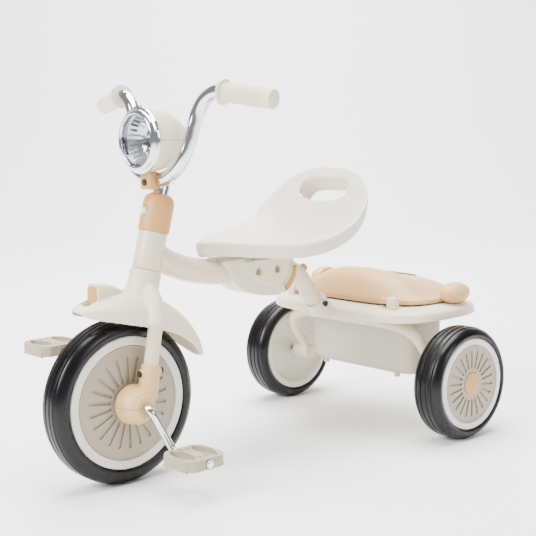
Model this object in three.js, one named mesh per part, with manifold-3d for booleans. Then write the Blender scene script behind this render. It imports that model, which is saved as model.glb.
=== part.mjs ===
// Folding children's tricycle. Millimetres: +X is the rider's left, -Y is ahead, +Z is up.
import * as THREE from 'three';
import { mergeVertices } from 'three/addons/utils/BufferGeometryUtils.js';
import Module from 'manifold-3d';

const wasm = await Module();
wasm.setup();

// Driving dimensions
const fitGap = 0.3; // between pieces that touch
const runGap = 0.6; // between pieces that turn or slide past each other
const frontWheelRadius = 125;
const frontTyreWidth = 52;
const frontRimRadius = 101;
const frontDiscRadius = 86.5;
const rearWheelRadius = 95;
const rearTyreWidth = 56;
const rearRimRadius = 77;
const rearDiscRadius = 65.5;
const discSlots = 22;
const wheelSides = 28; // facets round every wheel piece, a multiple of four
const wheelbase = 542;
const rearTrack = 426; // between the rear wheels' middle planes
const headAngle = THREE.MathUtils.degToRad(15.7); // lean of the steering axis
const trail = 2.3; // steering axis behind the front axle, at the axle's height
const mudguardGap = 39; // tyre to mudguard crown
const mudguardWall = 2.6;
const neckLength = 34;
const neckRadius = 24;
const headTubeLength = 58;
const headTubeRadius = 22;
const sleeveLength = 59;
const sleeveRadius = 24;
const steererRadius = 15.4;
const stemRadius = 12.5;
const barRadius = 11;
const barRise = 128; // lowest point of the bar to its highest
const gripLength = 90;
const gripRadius = 14.5;
const mainTubeRadius = 20;
const pivotReach = 234.5; // fold pivot behind the head tube's middle
const pivotDrop = 50;
const coverHalfWidth = 26;
const knuckleHalfWidth = 16;
const knuckleRadius = 21.4;
const legRadius = 11;
const crankRadius = 75;
const crankRod = 6;
const crankAngle = THREE.MathUtils.degToRad(25); // left crank, behind straight down
const pedalWidth = 73;
const pedalLength = 72;
const pedalHeight = 17;
const seatLength = 303;
const seatHalfWidth = 127;
const seatRise = 102; // nose rim to the top of the back
const platformHalfWidth = 186;
const platformHalfLength = 124;
const platformWall = 3;
const tubHalfWidth = 128;
const tubDepth = 122;
const bowRadius = 10;
const strutRadius = 15;
const lampRadius = 50;
const boltRadius = 4;

// Places that follow from them
const wheelCentre = new THREE.Vector3(0, 0, frontWheelRadius);
const rearHalfTrack = rearTrack / 2;
const crownHeight = frontWheelRadius + mudguardGap; // along the steering axis from the axle's height
const neckTop = crownHeight + 2 + neckLength;
const headTubeTop = neckTop + headTubeLength;
const sleeveTop = headTubeTop + sleeveLength;
const headTubeMiddle = alongHead((neckTop + headTubeTop) / 2);
const pivot = headTubeMiddle.clone().add(new THREE.Vector3(0, pivotReach, -pivotDrop));
const coverTop = pivot.z + 25;
const platformMiddle = new THREE.Vector3(0, wheelbase + 13, rearWheelRadius * 2 + 8);
const lidHinge = new THREE.Vector3(0, platformMiddle.y - platformHalfLength + 43, platformMiddle.z + 32);
const legHalfSpan = frontTyreWidth / 2 + 13 + legRadius;
const seatFront = pivot.y - 144;
const seatRimHeight = pivot.z + 61;

const paint = (color, roughness, metalness = 0) =>
  new THREE.MeshStandardMaterial({ color, roughness, metalness });
const cream = paint('#dcd7cc', 0.5);
const creamPaint = paint('#d8d0c4', 0.4);
const seatCream = paint('#e9e6df', 0.45);
const tubCream = paint('#cdc9c2', 0.55);
const discGrey = paint('#c5c0b6', 0.5);
const ringWhite = paint('#e4e1dd', 0.5);
const peach = paint('#e6c5a6', 0.5);
const lidPeach = paint('#ead0b6', 0.5);
const rubber = paint('#1b191c', 0.8);
const pedalGrey = paint('#bfbcb1', 0.6);
const chrome = paint('#d9dadd', 0.12, 1);
const steel = paint('#8d8c8a', 0.4, 1);
const darkScrew = paint('#3a3633', 0.5, 0.6);
const clear = paint('#eef2f4', 0.05);
const bush = paint('#f1efe9', 0.5);
const inlay = paint('#3d3a3c', 0.45);

function alongHead(distance, x = 0, back = 0) {
  const y = trail + distance * Math.sin(headAngle) + back * Math.cos(headAngle);
  const z = frontWheelRadius + distance * Math.cos(headAngle) - back * Math.sin(headAngle);
  return new THREE.Vector3(x, y, z);
}

// Boolean work

function toSolid(geometry) {
  const plain = geometry.clone();
  plain.deleteAttribute('normal');
  plain.deleteAttribute('uv');
  const merged = mergeVertices(plain, 1e-3);
  const vertProperties = new Float32Array(merged.attributes.position.array);
  const triVerts = new Uint32Array(merged.index.array);
  return new wasm.Manifold(new wasm.Mesh({ numProp: 3, vertProperties, triVerts }));
}

function toGeometry(solid) {
  const mesh = solid.getMesh();
  const geometry = new THREE.BufferGeometry();
  geometry.setAttribute('position', new THREE.BufferAttribute(new Float32Array(mesh.vertProperties), 3));
  geometry.setIndex(new THREE.BufferAttribute(new Uint32Array(mesh.triVerts), 1));
  return geometry;
}

function joined(...pieces) {
  return toGeometry(pieces.map(toSolid).reduce((whole, piece) => whole.add(piece)));
}

function cut(body, ...tools) {
  return toGeometry(tools.map(toSolid).reduce((whole, tool) => whole.subtract(tool), toSolid(body)));
}

function common(first, second) {
  return toGeometry(toSolid(first).intersect(toSolid(second)));
}

// Basic shapes, each returned where it belongs on the tricycle

function box(low, high) {
  const size = new THREE.Vector3().subVectors(high, low);
  const middle = new THREE.Vector3().addVectors(high, low).multiplyScalar(0.5);
  return new THREE.BoxGeometry(size.x, size.y, size.z).translate(middle.x, middle.y, middle.z);
}

const vec = (x, y, z) => new THREE.Vector3(x, y, z);

function rod(from, to, radius, sides = 24, endRadius = radius) {
  const span = new THREE.Vector3().subVectors(to, from);
  const turn = new THREE.Quaternion().setFromUnitVectors(vec(0, 1, 0), span.clone().normalize());
  const middle = from.clone().add(to).multiplyScalar(0.5);
  return new THREE.CylinderGeometry(endRadius, radius, span.length(), sides)
    .applyQuaternion(turn)
    .translate(middle.x, middle.y, middle.z);
}

function tubeAlong(curve, radius, steps, sides = 10) {
  const section = new THREE.Shape();
  for (let i = 0; i < sides; i++) {
    const angle = (2 * Math.PI * i) / sides;
    const point = [radius * Math.cos(angle), radius * Math.sin(angle)];
    if (i === 0) section.moveTo(...point);
    else section.lineTo(...point);
  }
  section.closePath();
  return new THREE.ExtrudeGeometry(section, { steps, extrudePath: curve, bevelEnabled: false });
}

// A turned body about the Y axis, from profile points of [radius, y].
function turnedY(profile, segments) {
  const points = profile.map(([radius, y]) => new THREE.Vector2(radius, y));
  const plain = new THREE.LatheGeometry(points, segments).deleteAttribute('normal').deleteAttribute('uv');
  return facingOut(mergeVertices(plain, 1e-3));
}

// The same about the X axis, from profile points of [radius, x].
function turnedX(profile, segments) {
  return turnedY(profile, segments).rotateZ(-Math.PI / 2);
}

// The same about the steering axis, from profile points of [radius, distance along the axis].
function turnedHead(profile, segments) {
  const base = alongHead(0);
  return turnedY(profile, segments)
    .rotateX(Math.PI / 2)
    .rotateX(-headAngle)
    .translate(base.x, base.y, base.z);
}

// An outline in the Y-Z plane carried along X.
function sideProfile(shape, lowX, highX, curveSegments = 8) {
  const turn = new THREE.Matrix4().makeBasis(vec(0, 1, 0), vec(0, 0, 1), vec(1, 0, 0));
  return new THREE.ExtrudeGeometry(shape, { depth: highX - lowX, bevelEnabled: false, curveSegments })
    .applyMatrix4(turn)
    .translate(lowX, 0, 0);
}

function outline(points) {
  return new THREE.Shape(points.map(([a, b]) => new THREE.Vector2(a, b)));
}

// A closed skin through rings of equally many points. A loop joins the last ring to the first;
// otherwise the two end rings are closed by a fan.
function skin(rings, loop = false) {
  const count = rings[0].length;
  const points = rings.flat();
  const index = [];
  const bands = loop ? rings.length : rings.length - 1;
  for (let i = 0; i < bands; i++) {
    const j = (i + 1) % rings.length;
    for (let k = 0; k < count; k++) {
      const n = (k + 1) % count;
      index.push(i * count + k, i * count + n, j * count + n);
      index.push(i * count + k, j * count + n, j * count + k);
    }
  }
  if (!loop) {
    for (const [ring, start, flip] of [[rings[0], 0, true],
      [rings.at(-1), (rings.length - 1) * count, false]]) {
      const middle = ring.reduce((sum, point) => sum.add(point), vec(0, 0, 0)).divideScalar(count);
      points.push(middle);
      for (let k = 0; k < count; k++) {
        const pair = [start + k, start + ((k + 1) % count)];
        if (flip) pair.reverse();
        index.push(...pair, points.length - 1);
      }
    }
  }
  const geometry = new THREE.BufferGeometry().setFromPoints(points);
  geometry.setIndex(index);
  return facingOut(geometry);
}

function facingOut(geometry) {
  const position = geometry.attributes.position;
  const index = geometry.index.array;
  const corner = [vec(0, 0, 0), vec(0, 0, 0), vec(0, 0, 0)];
  let volume = 0;
  for (let i = 0; i < index.length; i += 3) {
    corner.forEach((point, k) => point.fromBufferAttribute(position, index[i + k]));
    volume += corner[0].dot(corner[1].cross(corner[2]));
  }
  if (volume < 0) index.reverse();
  return geometry;
}

// A level ring shaped between an ellipse (power 2) and a rectangle (large power).
function roundedRing(halfX, halfY, middleY, z, power, count = 40) {
  return Array.from({ length: count }, (_, k) => {
    const angle = (2 * Math.PI * (k + 0.5)) / count;
    const c = Math.cos(angle);
    const s = Math.sin(angle);
    const x = halfX * Math.sign(c) * Math.abs(c) ** (2 / power);
    return vec(x, middleY + halfY * Math.sign(s) * Math.abs(s) ** (2 / power), z);
  });
}

// Scene bookkeeping

const tricycle = new THREE.Group();

function body(parent, x = 0, y = 0, z = 0) {
  const group = new THREE.Group();
  group.position.set(x, y, z);
  parent.add(group);
  return group;
}

// Geometry given in the tricycle's own coordinates is moved back into its body's.
function add(group, name, geometry, material) {
  group.updateWorldMatrix(true, false);
  const toBody = group.matrixWorld.clone().invert();
  const mesh = new THREE.Mesh(geometry.applyMatrix4(toBody), material);
  mesh.name = name;
  group.add(mesh);
}

const frame = body(tricycle);
const steering = body(frame, ...alongHead(0).toArray());
const handlebar = body(steering);
const stemButton = body(steering);
const frontWheel = body(steering, ...wheelCentre.clone().sub(alongHead(0)).toArray());
const rearFrame = body(frame, ...pivot.toArray());
const foldButton = body(frame);
const lid = body(rearFrame, ...lidHinge.clone().sub(pivot).toArray());

// Wheels

function tyreProfile(radius, rimRadius, width) {
  const half = width / 2;
  const shoulder = radius - 0.1 * radius;
  const tread = radius - 0.012 * radius;
  return [
    [rimRadius, -half], [shoulder, -half], [tread, -0.6 * half], [radius, -0.2 * half],
    [radius, 0.2 * half], [tread, 0.6 * half], [shoulder, half], [rimRadius, half], [rimRadius, -half],
  ];
}

function rimProfile(rimRadius, discRadius, width, bore, recess) {
  const half = width / 2;
  const outer = rimRadius - fitGap;
  const floor = half - recess;
  return [
    [bore, -12], [18, -12], [discRadius + fitGap, -floor], [discRadius + fitGap, -half + 1],
      [outer, -half + 1],
    [outer, half - 1], [discRadius + fitGap, half - 1], [discRadius + fitGap, floor], [18, 12],
      [bore, 12], [bore, -12],
  ];
}

const roundPoints = (radius, count) => Array.from({ length: count }, (_, k) => new THREE.Vector2(radius, 0)
  .rotateAround(new THREE.Vector2(), (2 * Math.PI * k) / count));

// A flat disc with radial slots, between two X positions.
function slottedDisc(radius, bore, lowX, highX, slotFrom, slotTo, slotWidth) {
  const shape = new THREE.Shape().absarc(0, 0, radius - 0.8, 0, 2 * Math.PI);
  shape.holes.push(new THREE.Path(roundPoints(bore, 16)));
  for (let i = 0; i < discSlots; i++) {
    const angle = (2 * Math.PI * (i + 0.5)) / discSlots;
    const turn = (a, b) => new THREE.Vector2(a, b).rotateAround(new THREE.Vector2(), angle);
    const half = slotWidth / 2;
    shape.holes.push(new THREE.Path([turn(slotFrom, -half), turn(slotTo, -half), turn(slotTo, half),
      turn(slotFrom, half)]));
  }
  return sideProfile(shape, lowX, highX, wheelSides / 2);
}

function addFrontWheel() {
  const half = frontTyreWidth / 2;
  const at = (geometry) => geometry.translate(0, 0, frontWheelRadius);
  const tyre = turnedX(tyreProfile(frontWheelRadius, frontRimRadius, frontTyreWidth), wheelSides);
  add(frontWheel, 'front_tyre', at(tyre), rubber);
  const rim = turnedX(rimProfile(frontRimRadius, frontDiscRadius, frontTyreWidth, crankRod + fitGap, 18),
    wheelSides);
  add(frontWheel, 'front_rim', at(rim), ringWhite);
  for (const [side, sign] of [['left', 1], ['right', -1]]) {
    const faces = [sign * (half - 5), sign * (half - 2.5)].sort((a, b) => a - b);
    const disc = slottedDisc(frontDiscRadius, crankRod + 5, ...faces, 33, 69, 3.6);
    add(frontWheel, `front_disc_${side}`, at(disc), discGrey);
  }
}

// Crank: one bent rod through the wheel, with its pedals on the ends.

function crankArm(sign) {
  const reach = crankArmPoint(sign);
  const knee = vec(sign * (hubCoverFace + 10), 0, frontWheelRadius);
  const foot = vec(reach.x - sign * 12, reach.y, reach.z);
  const path = new THREE.CurvePath();
  const start = vec(0, 0, frontWheelRadius);
  const turnIn = vec(knee.x - sign * 9, knee.y, knee.z);
  const down = foot.clone().sub(knee).normalize().multiplyScalar(9);
  path.add(new THREE.LineCurve3(start, turnIn));
  path.add(new THREE.QuadraticBezierCurve3(turnIn, knee, knee.clone().add(down)));
  path.add(new THREE.LineCurve3(knee.clone().add(down), foot.clone().sub(down)));
  const out = vec(foot.x + sign * 9, foot.y, foot.z);
  path.add(new THREE.QuadraticBezierCurve3(foot.clone().sub(down), foot, out));
  path.add(new THREE.LineCurve3(out, vec(reach.x + sign * (pedalWidth + 8), foot.y, foot.z)));
  return tubeAlong(path, crankRod, 18, 8);
}

// Where a crank arm meets its pedal's inner face.
function crankArmPoint(sign) {
  const y = sign * crankRadius * Math.sin(crankAngle);
  const z = frontWheelRadius - sign * crankRadius * Math.cos(crankAngle);
  return vec(sign * (hubCoverFace + 33), y, z);
}

function pedalShape() {
  const w = pedalWidth / 2;
  const l = pedalLength / 2;
  const c = 12;
  const shape = outline([[-w, -l + c], [-w + c, -l], [w - c, -l], [w, -l + c], [w, l - c], [w - c, l],
    [-w + c, l], [-w, l - c]]);
  for (const side of [-1, 1]) {
    const leaf = new THREE.Path();
    leaf.moveTo(-w + 6, side * 20);
    leaf.quadraticCurveTo(0, side * 20 - 14, w - 6, side * 20);
    leaf.quadraticCurveTo(0, side * 20 + 14, -w + 6, side * 20);
    shape.holes.push(leaf);
  }
  return shape;
}

function addCrankAndPedals() {
  const caps = [1, -1].map((sign) => {
    const inner = crankArmPoint(sign);
    const x = inner.x + sign * (pedalWidth + 1.5);
    return rod(vec(x, inner.y, inner.z), vec(x + sign * 5, inner.y, inner.z), 9, 12);
  });
  add(frontWheel, 'crank', joined(crankArm(1), crankArm(-1), ...caps), chrome);
  for (const [side, sign] of [['left', 1], ['right', -1]]) {
    const inner = crankArmPoint(sign);
    const middle = vec(inner.x + sign * (pedalWidth / 2), inner.y, inner.z);
    const pedal = body(frontWheel, middle.x, middle.y, middle.z - frontWheelRadius);
    const slab = new THREE.ExtrudeGeometry(pedalShape(),
      { depth: pedalHeight, bevelEnabled: false, curveSegments: 6 })
      .translate(middle.x, middle.y, middle.z - pedalHeight / 2);
    const bore = rod(vec(middle.x - 60, middle.y, middle.z), vec(middle.x + 60, middle.y, middle.z),
      crankRod + runGap, 12);
    add(pedal, `pedal_${side}`, cut(slab, bore), pedalGrey);
  }
}

// Fork, hub covers and mudguard

const hubCoverFace = legHalfSpan + legRadius + 7;
const legFootHeight = frontWheelRadius + 28;

function legCurve(sign) {
  const top = alongHead(crownHeight + 12, sign * 6);
  const shoulder = alongHead(crownHeight - 2, sign * (legHalfSpan - 22));
  const elbow = alongHead(crownHeight - 22, sign * legHalfSpan);
  const foot = vec(sign * legHalfSpan, 12 + (legFootHeight - frontWheelRadius) * 0.235, legFootHeight);
  const path = new THREE.CurvePath();
  const straight = alongHead(crownHeight - 44, sign * legHalfSpan);
  path.add(new THREE.CubicBezierCurve3(top, shoulder, elbow, straight));
  path.add(new THREE.LineCurve3(straight, foot));
  return path;
}

function forkTubes(grow) {
  const legs = [1, -1].map((sign) => tubeAlong(legCurve(sign), legRadius + grow, 7));
  const crown = turnedHead([[0, crownHeight - 8 - grow], [neckRadius - 4 + grow, crownHeight - 8 - grow],
    [neckRadius - 4 + grow, neckTop - 4 + grow], [0, neckTop - 4 + grow]], 16);
  return [...legs, crown];
}

function addFork() {
  const steererTop = sleeveTop - 18;
  const steerer = turnedHead([[0, neckTop - 10], [steererRadius, neckTop - 10],
    [steererRadius, steererTop], [0, steererTop]], 16);
  const bore = turnedHead([[0, neckTop - 2], [stemRadius + runGap, neckTop - 2],
    [stemRadius + runGap, steererTop + 5], [0, steererTop + 5]], 14);
  const holes = [1, -1].map((sign) => legBoltRod(sign, boltRadius - 0.6));
  add(steering, 'fork', cut(joined(...forkTubes(0), steerer), bore, ...holes), creamPaint);
}

const legBoltHeight = frontWheelRadius + 47;

function legPoint(z, sign) {
  const foot = legCurve(sign).getPoint(1);
  const high = alongHead(crownHeight - 44, sign * legHalfSpan);
  return foot.clone().lerp(high, (z - foot.z) / (high.z - foot.z));
}

function legBoltRod(sign, radius) {
  const middle = legPoint(legBoltHeight, sign);
  return rod(vec(middle.x, middle.y - 18, middle.z), vec(middle.x, middle.y + 18, middle.z), radius, 8);
}

function hubCover(sign) {
  const inner = frontTyreWidth / 2 + 3.5;
  const profile = [[0, inner], [30, inner], [30, inner + 8], [27, hubCoverFace - 13], [19, hubCoverFace - 2],
    [16, hubCoverFace], [0, hubCoverFace]].map(([radius, x]) => [radius, sign * x]);
  const dome = turnedX(profile, 20);
  dome.translate(0, 0, frontWheelRadius);
  const foot = legPoint(legFootHeight - 20, sign);
  const top = legPoint(legFootHeight + 31, sign);
  const socket = rod(foot, top, legRadius + 4.6, 14, legRadius + 3.4);
  const legBore = rod(legPoint(legFootHeight - 1, sign), legPoint(legFootHeight + 40, sign),
    legRadius + fitGap + 0.5, 12);
  const axleBore = rod(vec(-90, 0, frontWheelRadius), vec(90, 0, frontWheelRadius), crankRod + runGap, 12);
  const pads = [-1, 1].map((end) => {
    const middle = legPoint(legBoltHeight, sign);
    return rod(middle, vec(middle.x, middle.y + end * 17.5, middle.z), 6.5, 10);
  });
  return cut(joined(dome, socket, ...pads), legBore, axleBore, legBoltRod(sign, boltRadius - 0.6));
}

function addHubCovers() {
  const far = 200;
  for (const [side, sign] of [['left', 1], ['right', -1]]) {
    const whole = hubCover(sign);
    const lower = box(vec(-far, -far, -far), vec(far, far, frontWheelRadius - fitGap / 2));
    const upper = box(vec(-far, -far, frontWheelRadius + fitGap / 2), vec(far, far, far * 2));
    add(steering, `hub_cover_${side}_upper`, common(whole, upper), peach);
    add(steering, `hub_cover_${side}_lower`, common(whole, lower), peach);
    const middle = legPoint(legBoltHeight, sign);
    const shank = rod(vec(middle.x, middle.y - 20, middle.z), vec(middle.x, middle.y + 21, middle.z),
      boltRadius - 1, 8);
    const head = rod(vec(middle.x, middle.y - 21, middle.z), vec(middle.x, middle.y - 17.8, middle.z), 5, 10);
    const nut = rod(vec(middle.x, middle.y + 17.8, middle.z), vec(middle.x, middle.y + 22, middle.z), 5, 6);
    add(steering, `leg_bolt_${side}`, joined(shank, head, nut), darkScrew);
  }
}

// The mudguard is a boat-shaped shell around the wheel: u runs from its nose to its tail and
// v from its right lip over the crown to its left lip.
function mudguardPoint(u, v, inset) {
  const angle = THREE.MathUtils.degToRad(-27 + 101 * u);
  const swell = Math.sin(Math.PI * Math.min(1, Math.max(0, u)) ** 0.8);
  const halfWidth = 7 + (frontTyreWidth / 2 + 18) * swell ** 0.62;
  const drop = 2 + 44 * swell ** 0.75;
  const crown = crownHeight - inset;
  const side = Math.sin((v * Math.PI) / 2);
  const lift = Math.cos((v * Math.PI) / 2) ** 0.85;
  const radius = crown - drop * (1 - lift);
  const x = (halfWidth - inset) * side;
  return vec(x, radius * Math.sin(angle), frontWheelRadius + radius * Math.cos(angle));
}

function mudguardShell() {
  const lengthSteps = 10;
  const widthSteps = 6;
  const rings = [];
  for (let i = 0; i <= lengthSteps; i++) {
    const u = i / lengthSteps;
    const ring = [];
    for (let j = 0; j <= widthSteps; j++) ring.push(mudguardPoint(u, -1 + (2 * j) / widthSteps, 0));
    for (let j = widthSteps; j >= 0; j--) ring.push(mudguardPoint(u, -1 + (2 * j) / widthSteps,
      mudguardWall));
    rings.push(ring);
  }
  return skin(rings);
}

function lampHousing() {
  const ring = (y, halfWidth, low, high) =>
    roundedRing(halfWidth, (high - low) / 2, (low + high) / 2, 0, 3.2, 16)
    .map((point) => vec(point.x, y, point.y));
  const crownZ = frontWheelRadius + crownHeight;
  return skin([ring(-41, 15, crownZ - 24, crownZ + 19), ring(-30, 14.5, crownZ - 20, crownZ + 18),
    ring(6, 9, crownZ - 6, crownZ + 6)]);
}

function addMudguard() {
  const neck = turnedHead([[0, crownHeight - 14], [neckRadius + 6, crownHeight - 14],
    [neckRadius + 1, crownHeight + 3],
    [neckRadius, crownHeight + 14], [neckRadius, neckTop - fitGap], [0, neckTop - fitGap]], 20);
  const bulges = [1, -1].map((sign) => {
    const curve = legCurve(sign);
    const upper = new THREE.CurvePath();
    upper.add(curve.curves[0]);
    return tubeAlong(upper, legRadius + 3.2, 4, 8);
  });
  const wheelRoom = rod(vec(-frontTyreWidth / 2 - 3, 0, frontWheelRadius),
    vec(frontTyreWidth / 2 + 3, 0, frontWheelRadius),
    frontWheelRadius + 8, 24);
  const steererBore = turnedHead([[0, crownHeight], [steererRadius + fitGap, crownHeight],
    [steererRadius + fitGap, neckTop + 5], [0, neckTop + 5]], 16);
  const lampRecess = box(vec(-12, -60, frontWheelRadius + crownHeight - 13),
    vec(12, -39, frontWheelRadius + crownHeight + 14));
  const shell = joined(mudguardShell(), neck, ...bulges, lampHousing());
  add(steering, 'mudguard', cut(shell, ...forkTubes(fitGap), wheelRoom, steererBore, lampRecess), cream);
  const face = box(vec(-11.7, -42.5, frontWheelRadius + crownHeight - 12.7),
    vec(11.7, -39.3, frontWheelRadius + crownHeight + 13.7));
  add(steering, 'mudguard_lamp', face, peach);
}

function addSleeveAndButton() {
  const low = headTubeTop + fitGap;
  const inner = steererRadius + fitGap;
  const step = sleeveTop - 18 + fitGap;
  const mouth = stemRadius + runGap;
  const profile = [[inner, low], [sleeveRadius, low], [sleeveRadius, sleeveTop - 12],
    [sleeveRadius - 3.5, sleeveTop - 4],
    [sleeveRadius - 10, sleeveTop], [mouth, sleeveTop], [mouth, step], [inner, step], [inner, low]];
  const middle = sleeveTop - 30;
  const button = (from, to, radius) => rod(alongHead(middle, 0, -to), alongHead(middle, 0, -from), radius,
    12);
  const pocket = button(sleeveRadius - 7, sleeveRadius + 6, 6.4);
  add(steering, 'steering_sleeve', cut(turnedHead(profile, 20), pocket), peach);
  add(stemButton, 'stem_button', button(sleeveRadius - 3, sleeveRadius + 2.4, 5.9), cream);
}

// Handlebar and lamp

const barBottom = alongHead(sleeveTop + 20, 0, -13);

function barCurve() {
  const at = (x, y, z) => barBottom.clone().add(vec(x, y, z * (barRise / 128)));
  const half = [at(0, 0, 0), at(26, -1, 3), at(48, 0, 14), at(63, 4, 32), at(71, 10, 54), at(76, 15, 78),
    at(82, 20, 100), at(93, 23, 116), at(106, 25.5, 125)];
  const tip = gripStart(1);
  const out = gripDirection(1);
  half.push(...[-7, 8, gripLength / 2, gripLength - 6].map((distance) =>
    tip.clone().addScaledVector(out, distance)));
  const right = half.slice(1).map((point) => vec(-point.x, point.y, point.z)).reverse();
  return new THREE.CatmullRomCurve3([...right, ...half], false, 'centripetal');
}

function gripStart(sign) {
  return barBottom.clone().add(vec(sign * 127, 30, barRise));
}

function gripDirection(sign) {
  return vec(sign * 87, 23, -13).normalize();
}

function addHandlebar() {
  const stem = rod(alongHead(neckTop + 6), alongHead(sleeveTop + 24), stemRadius, 16);
  const bolt = lampBoltRod(boltRadius - 0.6);
  add(handlebar, 'handlebar', cut(joined(tubeAlong(barCurve(), barRadius, 36, 8), stem), bolt), chrome);
  for (const [side, sign] of [['left', 1], ['right', -1]]) {
    const start = gripStart(sign);
    const out = gripDirection(sign);
    const at = (distance) => start.clone().addScaledVector(out, distance);
    const sleeve = rod(at(2), at(gripLength), gripRadius, 14, gripRadius - 1);
    const flange = rod(at(0), at(4), gripRadius + 5, 16);
    const bore = rod(at(-4), at(gripLength - 4.5), barRadius + fitGap + 0.5, 12);
    add(handlebar, `grip_${side}`, cut(joined(sleeve, flange), bore), cream);
  }
}

const lampMiddle = vec(0, barBottom.y - 24, barBottom.z + 60);

const lampBoltHeight = barBottom.z - 3;
const bracketFront = barBottom.y - barRadius - 4.5;
const stemBack = alongHead(sleeveTop + 17).y + stemRadius + 2.4;

function lampBoltRod(radius) {
  return rod(vec(0, bracketFront - 5, lampBoltHeight), vec(0, stemBack + 5, lampBoltHeight), radius, 8);
}

function addLampBracket() {
  const saddle = box(vec(-14, bracketFront, barBottom.z - 14.5), vec(14, barBottom.y + 7, barBottom.z + 13));
  const post = box(vec(-10, bracketFront, barBottom.z),
    vec(10, barBottom.y + 4, lampMiddle.z - lampRadius + 7));
  const stem = rod(alongHead(neckTop + 6), alongHead(sleeveTop + 40), stemRadius + fitGap + 0.2, 16);
  const bar = tubeAlong(barCurve(), barRadius + fitGap + 0.6, 36, 8);
  const room = [lampBody(fitGap), stem, bar, lampBoltRod(boltRadius - 0.6)];
  add(handlebar, 'lamp_bracket', cut(joined(saddle, post), ...room), peach);
  const at = (y) => vec(0, y, lampBoltHeight);
  const shank = rod(at(bracketFront - 3), at(stemBack + 4), boltRadius - 1, 8);
  const head = rod(at(bracketFront - 3.5), at(bracketFront - fitGap), 5, 10);
  const nut = rod(at(stemBack), at(stemBack + 4), 5.5, 6);
  add(handlebar, 'lamp_bolt', joined(shank, head, nut), darkScrew);
}

// Lamp outline about its own horizontal axis: [radius, distance behind the bezel].
const lampOutline = [[lampRadius - 1.5, 0], [lampRadius - 2.5, 16], [lampRadius - 6, 37],
  [lampRadius - 17, 58],
  [lampRadius - 36, 78], [0, 84]];

function turnedLamp(profile, segments) {
  return turnedY(profile, segments).translate(lampMiddle.x, lampMiddle.y, lampMiddle.z);
}

function lampBody(grow) {
  const profile = [[0, -grow], ...lampOutline.slice(0, -1).map(([radius, back]) =>
    [radius + grow, back + (back === 0 ? -grow : 0)]),
    [0, 84 + grow]];
  return turnedLamp(profile, 20);
}

function addLamp() {
  const wall = 2.4;
  const inner = lampOutline.slice(0, -2).map(([radius, back]) => [radius - wall, back]).reverse();
  const shell = turnedLamp([...lampOutline, [0, 84 - wall], ...inner, [lampRadius - 1.5, 0]], 20);
  const far = 300;
  for (const [name, low, high] of [['upper', lampMiddle.z + fitGap / 2, 2000],
    ['lower', -10, lampMiddle.z - fitGap / 2]]) {
    const side = box(vec(-far, -far, low), vec(far, far, high));
    add(handlebar, `lamp_shell_${name}`, common(shell, side), cream);
  }
  const face = -13;
  const bezel = [[lampRadius - 0.6, -fitGap], [lampRadius + 0.5, -3], [lampRadius - 2, -9],
    [lampRadius - 7, face], [lampRadius - 10, face + 1],
    [lampRadius - 11, -8], [lampRadius - 9, -fitGap], [lampRadius - 0.6, -fitGap]];
  add(handlebar, 'lamp_bezel', turnedLamp(bezel, 20), chrome);
  const lens = [[0, -9.5], [24, -9], [lampRadius - 12, -7.6], [lampRadius - 12, -5.4], [0, -6.8]];
  add(handlebar, 'lamp_lens', turnedLamp(lens, 16), clear);
  const bowl = [[0, 24], [22, 24], [34, 12], [lampRadius - 9.6, 0.4], [lampRadius - 5, 0.4],
    [lampRadius - 5, 2.4],
    [lampRadius - 9, 2.4], [23, 26], [0, 26]];
  add(handlebar, 'lamp_reflector', turnedLamp(bowl, 16), chrome);
  const board = turnedLamp([[0, 19], [19, 19], [19, 21.5], [0, 21.5]], 14);
  const emitters = [0, 120, 240].map((degrees) => {
    const angle = THREE.MathUtils.degToRad(degrees + 90);
    const x = 11 * Math.cos(angle);
    const z = lampMiddle.z + 11 * Math.sin(angle);
    return rod(vec(x, lampMiddle.y + 20, z), vec(x, lampMiddle.y + 16.5, z), 3, 6);
  });
  add(handlebar, 'lamp_board', joined(board, ...emitters), inlay);
}

// Front frame

function mainTubeCurve() {
  const start = alongHead((neckTop + headTubeTop) / 2);
  const end = vec(0, pivot.y - 36, pivot.z + 1);
  const bend = vec(0, start.y + 0.33 * (end.y - start.y), end.z - 3);
  return new THREE.QuadraticBezierCurve3(start, bend, end);
}

function addHeadTube() {
  const low = neckTop;
  const high = headTubeTop;
  const inner = steererRadius + 4.2;
  const tube = turnedHead([[inner, low], [headTubeRadius, low], [headTubeRadius, high], [inner, high],
    [inner, low]], 24);
  add(frame, 'head_tube', tube, creamPaint);
  const sleeve = turnedHead([[steererRadius + fitGap, low + 1], [inner - fitGap, low + 1],
    [inner - fitGap, high - 1],
    [steererRadius + fitGap, high - 1], [steererRadius + fitGap, low + 1]], 20);
  add(frame, 'headset_bush', sleeve, bush);
}

function addMainTube() {
  const tube = tubeAlong(mainTubeCurve(), mainTubeRadius, 5, 14);
  const headRoom = turnedHead([[0, neckTop - 40], [headTubeRadius + fitGap, neckTop - 40],
    [headTubeRadius + fitGap, headTubeTop + 40], [0, headTubeTop + 40]], 24);
  add(frame, 'main_tube', cut(tube, headRoom), creamPaint);
}

// Fold joint

function coverOutline(grow = 0) {
  const p = (dy, dz) => [pivot.y + dy, pivot.z + dz];
  return outline([p(-112 - grow, 25 + grow), p(-86 - grow, -17 - grow), p(-66, -31 - grow),
    p(-32, -41 - grow), p(4, -44 - grow),
    p(20 + grow, -40 - grow), p(33 + grow, -27 - grow), p(40 + grow, -10), p(42 + grow, 4),
      p(40 + grow, 16 + grow), p(34, 25 + grow)]);
}

function coreRoom() {
  const p = (dy, dz) => [pivot.y + dy, pivot.z + dz];
  return outline([p(-84, 22.5), p(-84, -12), p(-64, -27), p(-30, -37), p(-20, -38), p(-20, -60),
    p(70, -60), p(70, 60), p(28, 60), p(28, 22.5)]);
}

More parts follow.
